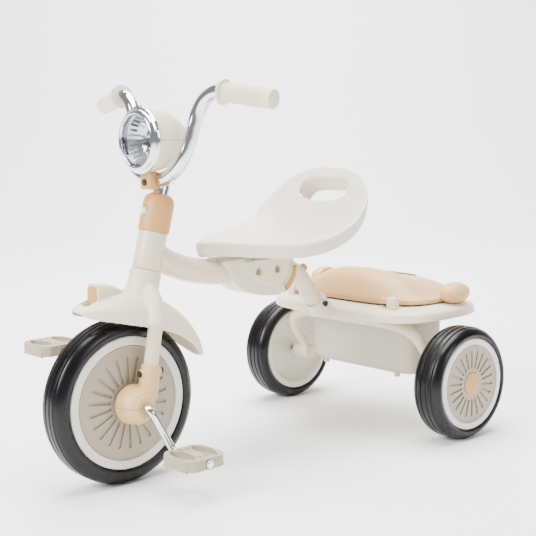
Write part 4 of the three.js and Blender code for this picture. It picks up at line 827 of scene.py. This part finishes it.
# The main tube runs back to the fold joint between its two covers.
mainLook = dict(radius=20, headPlace=229, bendShare=0.33)
start, end = alongHead(mainLook["headPlace"]), np.array([0, pivot[1] - 36, pivot[2] + 1])
bend = np.array([0, start[1] + mainLook["bendShare"] * (end[1] - start[1]), end[2] - 3])
t = np.linspace(0, 1, 60)[:, None]
mainPath = (1 - t) ** 2 * start + 2 * t * (1 - t) * bend + t ** 2 * end
mainTube = meshObject("mainTube", [tube(mainPath, mainLook["radius"], 64)])
headRoom = [(0.05, neckTop - 60), (22.2, neckTop - 60), (22.2, headTubeTop + 60), (0.05, headTubeTop + 60)]
carved(mainTube, [turned(headRoom, alongHead(0), headAxis, 96)])
finish(mainTube, "front_frame", material["creamPowderCoat"], ["main_tube"])


jointLook = dict(cover=[(-112, 25), (-86, -17), (-66, -31), (-32, -41), (4, -44), (20, -40), (33, -27),
                        (40, -10), (42, 4), (40, 16), (34, 25)],
                 panel=[(-70, 20), (-66, 5), (-54, -8), (-26, -20), (-4, -29), (4, -31), (14, -24), (22, -14),
                        (26, 0), (26, 20)],
                 hollow=[(-84, 22.5), (-84, -12), (-64, -27), (-30, -37), (-20, -38), (-20, -60), (70, -60),
                         (70, 60), (28, 60), (28, 22.5)],
                 screw=[(0.05, 0), (6.2, 0), (6.2, 2.4), (4.6, 3.2), (2.6, 3.2), (2.6, 1.6), (0.05, 1.4)],
                 width=26, face=29.5, hollowHalf=16.3, screwsBack=(-41, 0), screwRoom=6.5, voxel=0.7,
                 passes=2)


def nearPivot(points):
    # Places in y and z measured from the fold pin.
    return np.asarray(points, float) + pivot[1:]


def crescentLoop(inner, outer, fromDeg, toDeg, count=40):
    # Two arcs about the pivot, out along one and back along the other.
    a = np.radians(np.linspace(fromDeg, toDeg, count))
    return nearPivot(np.vstack([np.column_stack([outer * np.cos(a), outer * np.sin(a)]),
                                np.column_stack([inner * np.cos(a[::-1]), inner * np.sin(a[::-1])])]))


coverLoop = softened(nearPivot(jointLook["cover"]), 9, 8, closed=True)
panelLoop = softened(nearPivot(jointLook["panel"]), 5, 6, closed=True)
rimLoop = softened(crescentLoop(29.5, 44, -69, 9), 1.5, 3, closed=True)
coverPieces = [slab(coverLoop, 0.2, jointLook["width"], sideOn, 2.6),
               slab(panelLoop, 24, jointLook["face"], sideOn, 1.6),
               slab(rimLoop, 20, jointLook["face"], sideOn, 1.2)]
hollow = slab(nearPivot(jointLook["hollow"]), -jointLook["hollowHalf"], jointLook["hollowHalf"], sideOn, 0.1)
buttonRoom = slab(crescentLoop(31.9, 42.1, -65, 5), 20.3, 60, sideOn, 0.1)
recessScrewsPaintedShade = []
for word, side in bothSides:
    def placed(piece):
        # The left side's piece, or its mirror image.
        return piece if side > 0 else mirrored(piece)

    cover = fused(meshObject("jointCover" + word.title(), [placed(piece) for piece in coverPieces]),
                  jointLook["voxel"], jointLook["passes"])
    cuts = [placed(hollow), tube(mainPath, mainLook["radius"] + 0.3, 48)]
    for back in jointLook["screwsBack"]:
        place = pivot + (side * 18.4, back, 0)
        cuts.append(rodPiece(place, place + (side * 19, 0, 0), jointLook["screwRoom"], 48, 0.2))
        # a screw head at the recess's bottom, dark to paint the shade deep in the recess
        shadeScrewPlace = pivot + (side * 16.6, back, 0)
        recessScrewsPaintedShade.append(turned(softened(jointLook["screw"], 0.4, 3), shadeScrewPlace, (side, 0, 0), 36))
    carved(cover, [*cuts, placed(buttonRoom)])
    finish(cover, "front_frame", material["satinCreamPolypropylene"], ["joint_cover_" + word])
# Screw heads at the bottom of the side recesses; their dark polystyrene is painted shade, standing in for the
# darkness deep in each recess.
finish(meshObject("recessScrewsPaintedShade", recessScrewsPaintedShade), "front_frame", material["darkPolystyrene"], [], 25)
crescent = slab(softened(crescentLoop(32.4, 41.6, -63.5, 3.5), 2.4, 5, closed=True), 24.8, 31, sideOn, 1.4)
finish(meshObject("foldButton", [crescent]), "fold_button", material["peachPolypropylene"], ["fold_button"])
print("fold joint made")

# The seat is one moulded shell, turned up behind round a handle slot.
seatLook = dict(length=303.0, rise=103.5, wall=5.0, voxel=1.6, passes=4)
seatFront, seatBase = pivot[1] - 144, pivot[2] + 61
# The left half of the rim from nose to back: sideways in mm, then shares of the length and of the rise.
seatRim = [[0, 0, 0], [29, 0.09, 0], [64, 0.19, -0.02], [94, 0.29, -0.04], [117, 0.39, -0.04],
           [124, 0.58, 0.02],
           [127, 0.75, 0.21], [126, 0.82, 0.38], [116, 0.89, 0.58], [86, 0.95, 0.84], [46, 0.985, 0.96],
           [0, 1, 1]]
# The rim's rolled edge: scale, share of the rim's height, drop, and how much less it drops up at the back.
seatRoll = [(1.0, 0.985, -15.5, 0.7), (0.998, 0.96, -17.5, 0.5), (0.988, 0.92, -21, 0.2),
            (0.972, 0.885, -25, 0), (0.955, 0.865, -27.4, 0),
            (0.937, 0.86, -27.4, 0), (0.935, 0.88, -22, 0), (0.925, 0.9, -17, 0)]


def rimPoints(count=168):
    # A closed smooth curve through the left half's points and their mirror images.
    left = np.array([(x, seatFront + b * seatLook["length"], seatBase + r * seatLook["rise"]) for x, b,
                     r in seatRim])
    right = left[1:-1][::-1] * (-1, 1, 1)
    whole = np.vstack([left, right])
    curve = through(np.vstack([whole[-3:], whole, whole[:4]]), 2400)
    nose = np.where((np.abs(curve[:, 0]) < 4) & (curve[:, 1] < left[0, 1] + 3))[0]
    first, last = nose[nose < 1200][0], nose[nose > 1200][-1]
    return resampled(curve[first:last], count + 1)[:-1]


def seatPiece():
    # Rings shrink from the rim to the middle while their height falls off as a power of that scale.
    rim = rimPoints()
    middle = np.array([0, seatFront + seatLook["length"] * 0.5, seatBase - 24])
    upright = np.clip((rim[:, 2] - rim[:, 2].min()) / seatLook["rise"], 0, 1)

    def ring(scale, mix, offset, ease=0.0):
        # The rim scaled about the middle, its height mixed towards the middle's and then moved by an offset.
        points = middle + (rim - middle) * scale
        points[:, 2] = middle[2] + (rim[:, 2] - middle[2]) * mix + offset * (1 - ease * upright)
        return points

    scales = np.linspace(0.06, 0.88, 24)
    roll = np.linspace(0.1, 1, 10)
    top = [ring(s, s ** 2.6, 0) for s in scales]
    edge = [ring(0.885 + 0.115 * t, (0.885 + 0.115 * t) ** 2.6, -13 * (1 - math.sqrt(1 - t * t)),
                 0.85) for t in roll]
    edge += [ring(*step) for step in seatRoll]
    under = [ring(s, s ** 2.6, -seatLook["wall"]) for s in scales[::-1][1:]]
    return skin([*top, *edge, *under])


slotMiddle = np.array([0, seatFront + seatLook["length"] * 0.931, seatBase + 62])
slotLook = dict(halfX=57.0, halfZ=31.0, power=3.2, slope=1.1, follow=0.362, wall=3.5, start=5.5, depth=22.0)


def slotRing(back, grow=0.0, follow=0.0):
    # The slot's outline carried back and down along its slope, each point further back the higher it is.
    loop = superLoop(slotLook["halfX"] + grow, slotLook["halfZ"] + 1.6 * grow, slotLook["power"], 96,
                     (0, slotMiddle[2]))
    go = back + follow * (loop[:, 1] - slotMiddle[2])
    return np.column_stack([loop[:, 0], slotMiddle[1] + go, loop[:, 1] - go * slotLook["slope"]])


slotEnds = (slotLook["start"], slotLook["depth"])
slotWall = skin([slotRing(back, slotLook["wall"], slotLook["follow"]) for back in slotEnds])
seat = fused(meshObject("seatShell", [seatPiece(), slotWall]), seatLook["voxel"], 2)
# the moulding gate's short slit
slit = boxPiece((-8, pivot[1] - 102, pivot[2] + 30), (8, pivot[1] - 100.4, pivot[2] + 80), 0.1)
carved(seat, [skin([slotRing(-60), slotRing(80)]), slit])
seat = fused(seat, seatLook["voxel"], seatLook["passes"])
finish(seat, "front_frame", material["polishedCreamPolypropylene"], ["seat"], 60)
print("seat made")

# The strut carries the platform, the tub hangs in it and the bow holds the rear wheels.
platformY, platformZ = wheelbase + 13, 198.0
strutLook = dict(radius=15, knuckle=21.4, knuckleHalf=15.3, voxel=0.9, passes=5)
foot = np.array([0, platformY - 128, platformZ + 10])
seamPlace = foot + (0, -18, 21)
drop = (foot - seamPlace) / np.linalg.norm(foot - seamPlace)
straight = seamPlace - drop * 8
a, b, c = pivot + (0, 18, 0), pivot + (0, 74, -2), straight - drop * 30
t = np.linspace(0, 1, 60)[:, None]
strutPath = np.vstack([(1 - t) ** 3 * a + 3 * t * (1 - t) ** 2 * b + 3 * t ** 2 * (1 - t) * c
                       + t ** 3 * straight,
                       straight + drop * np.linspace(2, 30, 12)[:, None]])
knuckleEnd = (strutLook["knuckleHalf"], 0, 0)
knuckle = rodPiece(pivot - knuckleEnd, pivot + knuckleEnd, strutLook["knuckle"], 72, 1.5)
strut = meshObject("strutArm", [knuckle, tube(strutPath, strutLook["radius"], 48)])
strut = fused(strut, strutLook["voxel"], strutLook["passes"])
carved(strut, [rodPiece(pivot - (30, 0, 0), pivot + (30, 0, 0), 4.3, 32, 0.05)])
finish(strut, "rear_frame", material["creamPowderCoat"], ["strut"])
nubPlace = resampled(strutPath, 101)[42] + (0, 15, 14)
nub = turned(softened([(0.05, -9), (7, -9), (7, 0), (4.5, 2.2), (0.05, 2.6)], 1.6, 5), nubPlace, (0, 1, 1),
             48)
finish(meshObject("foldBumper", [nub]), "rear_frame", material["peachPolypropylene"], ["fold_bumper"])

# Rings of the platform's skin: what is taken off each half width, the corner power and the height.
platformLook = dict(half=(186.0, 124.0), mouth=(132.0, 56.0), mouthPower=5,
                    mouthRings=[(0, 15.6), (0, 19), (2, 19.8)],
                    rings=[(30, 26, 3.5, 20.3), (22, 19, 3.4, 19.8), (14, 12, 3.3, 18.2), (8, 7, 3.25, 16.2),
                           (4.6, 4.4, 3.2, 15.2),
                           (2.4, 2.4, 3.2, 13.8), (1.2, 1.2, 3.2, 11.5), (0.4, 0.4, 3.2, 5), (0, 0, 3.2, 0.6),
                           (0.5, 0.5, 3.2, 0),
                           (2.6, 2.6, 3.2, 0), (3.2, 3.2, 3.2, 0.8), (5, 5, 3.2, 11), (26, 22, 3.4, 17)],
                    socket=[(0.05, 0), (18.4, 0), (19.5, 14), (21.5, 36), (0.05, 36)],
                    apron=[(0.05, 0), (30, 0), (27, 10), (24, 19.4), (0.05, 19.4)])
tubY = platformY + 7


def platformPieces():
    # Superellipse rings from the tub's mouth over the top, round the lip and back underneath.
    (halfX, halfY), (mouthX, mouthY) = platformLook["half"], platformLook["mouth"]
    rings = [levelRing(mouthX + grow, mouthY + grow, platformLook["mouthPower"], tubY,
                       platformZ + z) for grow, z in platformLook["mouthRings"]]
    rings += [levelRing(halfX - dx, halfY - dy, power, platformY, platformZ + z) for dx, dy, power,
              z in platformLook["rings"]]
    plate = skin(rings, loop=True)
    socket = turned(softened(platformLook["socket"], 1.8, 5), seamPlace, drop, 64)
    apron = turned(softened(platformLook["apron"], 3, 5), (0, platformY - 110, platformZ), (0, 0, 1), 64)
    posts = []
    for side in (1, -1):  # the lid's hinge blocks and pins
        low, high = sorted((side * 115, side * 132))
        posts.append(boxPiece((low, 466, platformZ + 16), (high, 482, 236.6), 1.6))
        posts.append(rodPiece((side * 100, 474, 230), (side * 120, 474, 230), 2.5))
    return plate, socket, apron, posts


plate, socket, apron, posts = platformPieces()
under = boxPiece((-60, platformY - 190, platformZ - 40), (60, platformY, platformZ), 0.05)
nose = fused(meshObject("platformSocket", [socket, apron]), 0.9, 6)
carved(nose, [under, tube(strutPath, strutLook["radius"] + 0.3, 48)])
finish(nose, "rear_frame", material["satinCreamPolypropylene"], [])
finish(meshObject("platformTop", [plate, *posts]), "rear_frame", material["satinCreamPolypropylene"],
       ["platform"])
boltPlace = resampled(strutPath, 101)[90]
heads = []
for side in (1, -1):
    headProfile = softened([(0.05, 3.6), (1.6, 3.6), (2.2, 2.4), (5, 2.4), (5, 0), (0.05, 0)], 0.6)
    heads.append(turned(headProfile, boltPlace + (side * 21.9, 0, 0), (side, 0, 0), 32))
strutBolt = meshObject("strutBolt", [*heads, rodPiece(boltPlace - (22, 0, 0), boltPlace + (22, 0, 0), 3)])
finish(strutBolt, "rear_frame", material["blackenedSteel"], ["strut_bolt"], 25)

# The tub's rings: what is taken off each half width and the height, from the bottom for the floor and from
# the top above.
tubLook = dict(half=(128, 50), power=5.5, height=122,
               outerLow=[(22, 0), (13, 0.4), (8, 2), (4.6, 5), (2.6, 10), (1.6, 20)],
               rim=[(0.2, -6), (0, -3.4), (-1, -2.4), (-9.4, -2.4), (-9.8, -0.2), (-9, 0), (1.6, 0),
                    (2.8, -2)],
               innerLow=[(4.4, 12), (7, 6), (16, 3.4)])
tubTop = platformZ + 15.7
tubLow = tubTop - tubLook["height"]


def tubRing(inset, z):
    # A level superellipse, smaller by the inset on every side.
    halfX, halfY = tubLook["half"]
    return levelRing(halfX - inset, halfY - inset, tubLook["power"], tubY, z)


tubRings = [tubRing(inset, tubLow + z) for inset, z in tubLook["outerLow"]]
tubRings += [tubRing(inset, tubTop + z) for inset, z in tubLook["rim"]]
tubRings += [tubRing(inset, tubLow + z) for inset, z in tubLook["innerLow"]]
feet = [rodPiece((x, tubY - 38, tubLow - 5), (x, tubY - 38, tubLow + 3), 5, 32, 1) for x in (88, -88)]
finish(meshObject("storageTub", [skin(tubRings), *feet]), "rear_frame", material["greyCreamPolypropylene"],
       ["storage_tub"])


bowLook = dict(radius=10, boss=[(0.05, 0), (13, 0), (14.8, 4), (14.4, 16), (12, 40), (0.05, 40)], voxel=1.0,
               passes=5)


def bowPath():
    # A smooth curve across the front of the tub, back along its sides and down to the axle.
    ex, front, height = rearHalfTrack - 42, tubY - 64, platformZ - 13
    half = [(64, front, height), (ex - 46, front, height - 4), (ex - 18, front + 6, height - 20),
            (ex - 9, front + 22, height - 50),
            (ex - 8, wheelbase - 8, rearRadius + 22), (ex - 6, wheelbase, rearRadius + 3)]
    right = [(-x, y, z) for x, y, z in half[::-1]]
    return through([*right, (0, front, height), *half], 240)


bosses = []
for side in (1, -1):
    base = np.array([side * (rearHalfTrack - 62), wheelbase, rearRadius])
    bosses.append(turned(softened(bowLook["boss"], 2, 5), base, (side, 0, 0), 56))
bow = fused(meshObject("axleBow", [tube(bowPath(), bowLook["radius"], 36), *bosses]), bowLook["voxel"],
            bowLook["passes"])
finish(bow, "rear_frame", material["creamPowderCoat"], ["axle_bow"])
print("rear frame made")

# The lid is hinged near the platform's front.
lidLook = dict(halfX=150, power=3.2, rise=44, inlay=(44, 27), inlayHigh=2.3, lobe=(22, 32, 18.5))
lidHingeY, lidHingeZ = platformY - 81, platformZ + 32
lidRear, lidEdge = platformY + 116, platformZ + 27
lidMiddleY, lidHalfY = (lidHingeY + 4 + lidRear) / 2, (lidRear - lidHingeY - 4) / 2


def lidRise(x, y):
    # Two bells along the length, faded towards the sides.
    along = (y - lidHingeY) / (lidRear - lidHingeY)
    bells = np.exp(-((along - 0.28) / 0.34) ** 2) + 0.42 * np.exp(-((along - 0.78) / 0.24) ** 2)
    across = np.maximum(0, 1 - (np.abs(x) / lidLook["halfX"]) ** 2.4)
    return lidLook["rise"] * bells * across ** 0.8


def lidRing(scale, dropBy, inset=0.0, lift=0.0, count=160):
    # A superellipse ring laid on the rise, which fades out at the edge as the sixth power of the scale.
    loop = superLoop((lidLook["halfX"] - inset) * scale, (lidHalfY - inset) * scale, lidLook["power"], count,
                     (0, lidMiddleY))
    z = lidEdge + 3 + lidRise(*loop.T) * (1 - scale ** 6) - dropBy + lift
    return np.column_stack([loop, z])


def lidPiece():
    # Rings out over the top, round the edge and back underneath.
    scales = np.linspace(0.02, 0.985, 40)
    top = [lidRing(s, 0) for s in scales]
    edge = [lidRing(0.995, 0.4), lidRing(1, 1.4), lidRing(1, 6.6), lidRing(1, 7.2, 0.8), lidRing(1, 7.0, 2.2),
            lidRing(1, 3.8, 2.4)]
    under = [lidRing(s, 2.6, 1.5) for s in scales[::-1]]
    return skin([*top, *edge, *under])


knuckles = []
for side in (1, -1):
    barrel = softened([(2.8, 0), (5.5, 0), (5.5, 17.4), (2.8, 17.4)], 0.6, 4, closed=True)
    knuckles.append(turned(barrel, (side * 97, lidHingeY, lidHingeZ), (side, 0, 0), 40, loop=True))
    low, high = sorted((side * 97, side * 114.4))
    knuckles.append(boxPiece((low, lidHingeY + 3, lidHingeZ - 4.5), (high, lidHingeY + 16, lidHingeZ + 1.5),
                             0.8))
lid = meshObject("lidShell", [lidPiece()])
rooms = [rodPiece((side * 114, lidHingeY, lidHingeZ), (side * 133, lidHingeY, lidHingeZ), 14,
                  48) for side in (1, -1)]
carved(lid, rooms)
finish(lid, "lid", material["palePeachPolypropylene"], ["lid"])
finish(meshObject("lidKnuckles", knuckles), "lid", material["palePeachPolypropylene"], [])

inlayY = lidHingeY + 0.76 * (lidRear - lidHingeY)


def inlayPiece():
    # An oval film lying on the lid, thin at its edge.
    halfX, halfY = lidLook["inlay"]
    radii = np.linspace(0.04, 1, 16)
    angle = np.arange(96) * 2 * np.pi / 96
    power = lidLook["power"]
    rings = []
    for level, order in ((lidLook["inlayHigh"], radii), (-0.4, radii[::-1])):
        for r in order:
            x, y = halfX * r * np.cos(angle), inlayY + halfY * r * np.sin(angle)
            sx, sy = x / lidLook["halfX"], (y - lidMiddleY) / lidHalfY
            scale = (np.abs(sx) ** power + np.abs(sy) ** power) ** (1 / power)
            z = lidEdge + 3 + lidRise(x, y) * (1 - scale ** 6) + level * (1 - 0.75 * (r > 0.98))
            rings.append(np.column_stack([x, y, z]))
    return skin(rings)


def eggPiece(middle):
    # An ellipsoid: sine and cosine of the angle from its end, times the three half lengths.
    theta = np.linspace(0.03, np.pi - 0.03, 40)[:, None]
    phi = np.arange(72) * 2 * np.pi / 72
    a, b, c = lidLook["lobe"]
    return skin(np.stack([a * np.sin(theta) * np.cos(phi), b * np.cos(theta) * np.ones(72),
                          c * np.sin(theta) * np.sin(phi)], -1) + middle)


finish(meshObject("lidInlay", [inlayPiece()]), "lid", material["darkPolystyrene"], ["lid_inlay"])
lidBlock = skin([levelRing(lidLook["halfX"] + 0.3, 96.7, lidLook["power"], lidMiddleY,
                           lidEdge + z) for z in (-12, 40)])
# the platform's top, a little higher
lobeRoom = [(0, 0, 3.2, -20), (0, 0, 3.2, 12), (5, 5, 3.2, 16.4), (14, 12, 3.3, 19.6), (30, 26, 3.5, 21.4)]
base = skin([levelRing(186 - dx, 124 - dy, power, platformY, platformZ + z) for dx, dy, power, z in lobeRoom])
for word, side in bothSides:
    lobe = meshObject("lidLobe" + word.title(), [eggPiece((side * 160, lidHingeY + 119, lidHingeZ + 5))])
    carved(lobe, [lidBlock, base])
    finish(lobe, "lid", material["palePeachPolypropylene"], ["lid_lobe_" + word])
print("lid made")

# CAD nodes that show as they are get the material of the real piece.
cadLooks = {"headset_bush": "naturalNylon", "joint_core": "zincPlatedSteel", "fold_pin": "zincPlatedSteel",
            "seat_bracket": "zincPlatedSteel",
            "wheel_bolt_left": "zincPlatedSteel", "wheel_bolt_right": "zincPlatedSteel"}
for name, look in cadLooks.items():
    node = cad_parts[name]
    if not node.material_slots:
        node.data.materials.append(material[look])
    for slot in node.material_slots:
        slot.material = material[look]
print("CAD nodes given materials", len(cadLooks))

# White paper sweep: level under the tricycle, then a quarter circle up to an upright wall far behind it.
sweepLook = dict(turn=0.848, near=-12, levelTo=3, bend=2.2, top=9, halfWide=14)
away = np.array([-math.sin(sweepLook["turn"]), math.cos(sweepLook["turn"]), 0])
along = np.array([away[1], -away[0], 0])
arc = np.radians(np.linspace(0, 90, 33))
bend, levelTo = sweepLook["bend"], sweepLook["levelTo"]
sweepProfile = np.vstack([[(sweepLook["near"], 0)],
                          np.column_stack([levelTo + bend * np.sin(arc), bend - bend * np.cos(arc)]),
                          [(levelTo + bend, sweepLook["top"])]])
reach = np.linspace(-sweepLook["halfWide"], sweepLook["halfWide"], 5)
sweepLine = sweepProfile[:, :1] * away + sweepProfile[:, 1:] * np.array([0, 0, 1.0])
sweepPoints = sweepLine[:, None] + reach[None, :, None] * along
floorMesh = bpy.data.meshes.new("floor")
floorMesh.from_pydata(sweepPoints.reshape(-1, 3), [],
                      gridQuads(len(sweepProfile), len(reach), False, False)[:, ::-1].tolist())
floorMesh.shade_smooth()
floor = bpy.data.objects.new("floor", floorMesh)
bpy.context.scene.collection.objects.link(floor)
paperLook = dict(colour="#FDFDFD", second="#FCFCFC", rough=(0.6, 0.65), grainScale=200.0, bump=0.0)
floorMesh.materials.append(surface("whitePaper", paperLook))

world = bpy.data.worlds.new("studio")
bpy.context.scene.world = world
world.use_nodes = True
sky = world.node_tree.nodes["Background"]
sky.inputs["Color"].default_value = (1, 1, 1, 1)
sky.inputs["Strength"].default_value = 0.36  # a dim even fill


# Square soft boxes: where each stands, what it faces, its side in metres and its watts.
softBoxes = {
    "topBox": dict(place=(0, 0, 3.2), target=(0, 0, 0), size=2.6, power=300),
    "keyBox": dict(place=(-0.3, -2.8, 1.9), target=(0, 0, 0.25), size=1.5, power=175),
    "sideBox": dict(place=(2.9, 0.4, 1.5), target=(0, 0, 0.25), size=1.2, power=34),
    "wallBox": dict(place=away * 2.2 + (0, 0, 3.6), target=away * 4.6 + (0, 0, 0.8), size=3.0, power=430),
}
for name, box in softBoxes.items():
    data = bpy.data.lights.new(name, "AREA")
    data.size, data.energy = box["size"], box["power"]
    light = bpy.data.objects.new(name, data)
    light.location = box["place"]
    light.rotation_euler = (Vector(box["target"]) - Vector(box["place"])).to_track_quat("-Z", "Y").to_euler()
    bpy.context.scene.collection.objects.link(light)
print("lights made", len(softBoxes))

# The camera's place in mm, its turn about the upright, its tip down and its roll in radians, and its lens on
# a 36 mm frame.
cameraPlace = dict(place=(1396.232, -928.107, 545.3), turn=0.84795, tip=0.13393, roll=-0.02012, lens=75.7502,
                   frame=36.0)
camera = bpy.data.cameras.new("camera")
camera.lens, camera.sensor_width = cameraPlace["lens"], cameraPlace["frame"]
camera.clip_start, camera.clip_end = 0.01, 100.0
eye = bpy.data.objects.new("camera", camera)
bpy.context.scene.collection.objects.link(eye)
bpy.context.scene.camera = eye
turn, tip, roll = cameraPlace["turn"], cameraPlace["tip"], cameraPlace["roll"]
forward = np.array([-math.sin(turn) * math.cos(tip), math.cos(turn) * math.cos(tip), -math.sin(tip)])
right = np.array([math.cos(turn), math.sin(turn), 0])
up = np.cross(right, forward)
across = math.cos(roll) * right + math.sin(roll) * up
upright = -math.sin(roll) * right + math.cos(roll) * up
axes = np.column_stack([across, upright, -forward, toRow(cameraPlace["place"])])
eye.matrix_world = Matrix([*axes.tolist(), (0, 0, 0, 1)])

print("scene made")
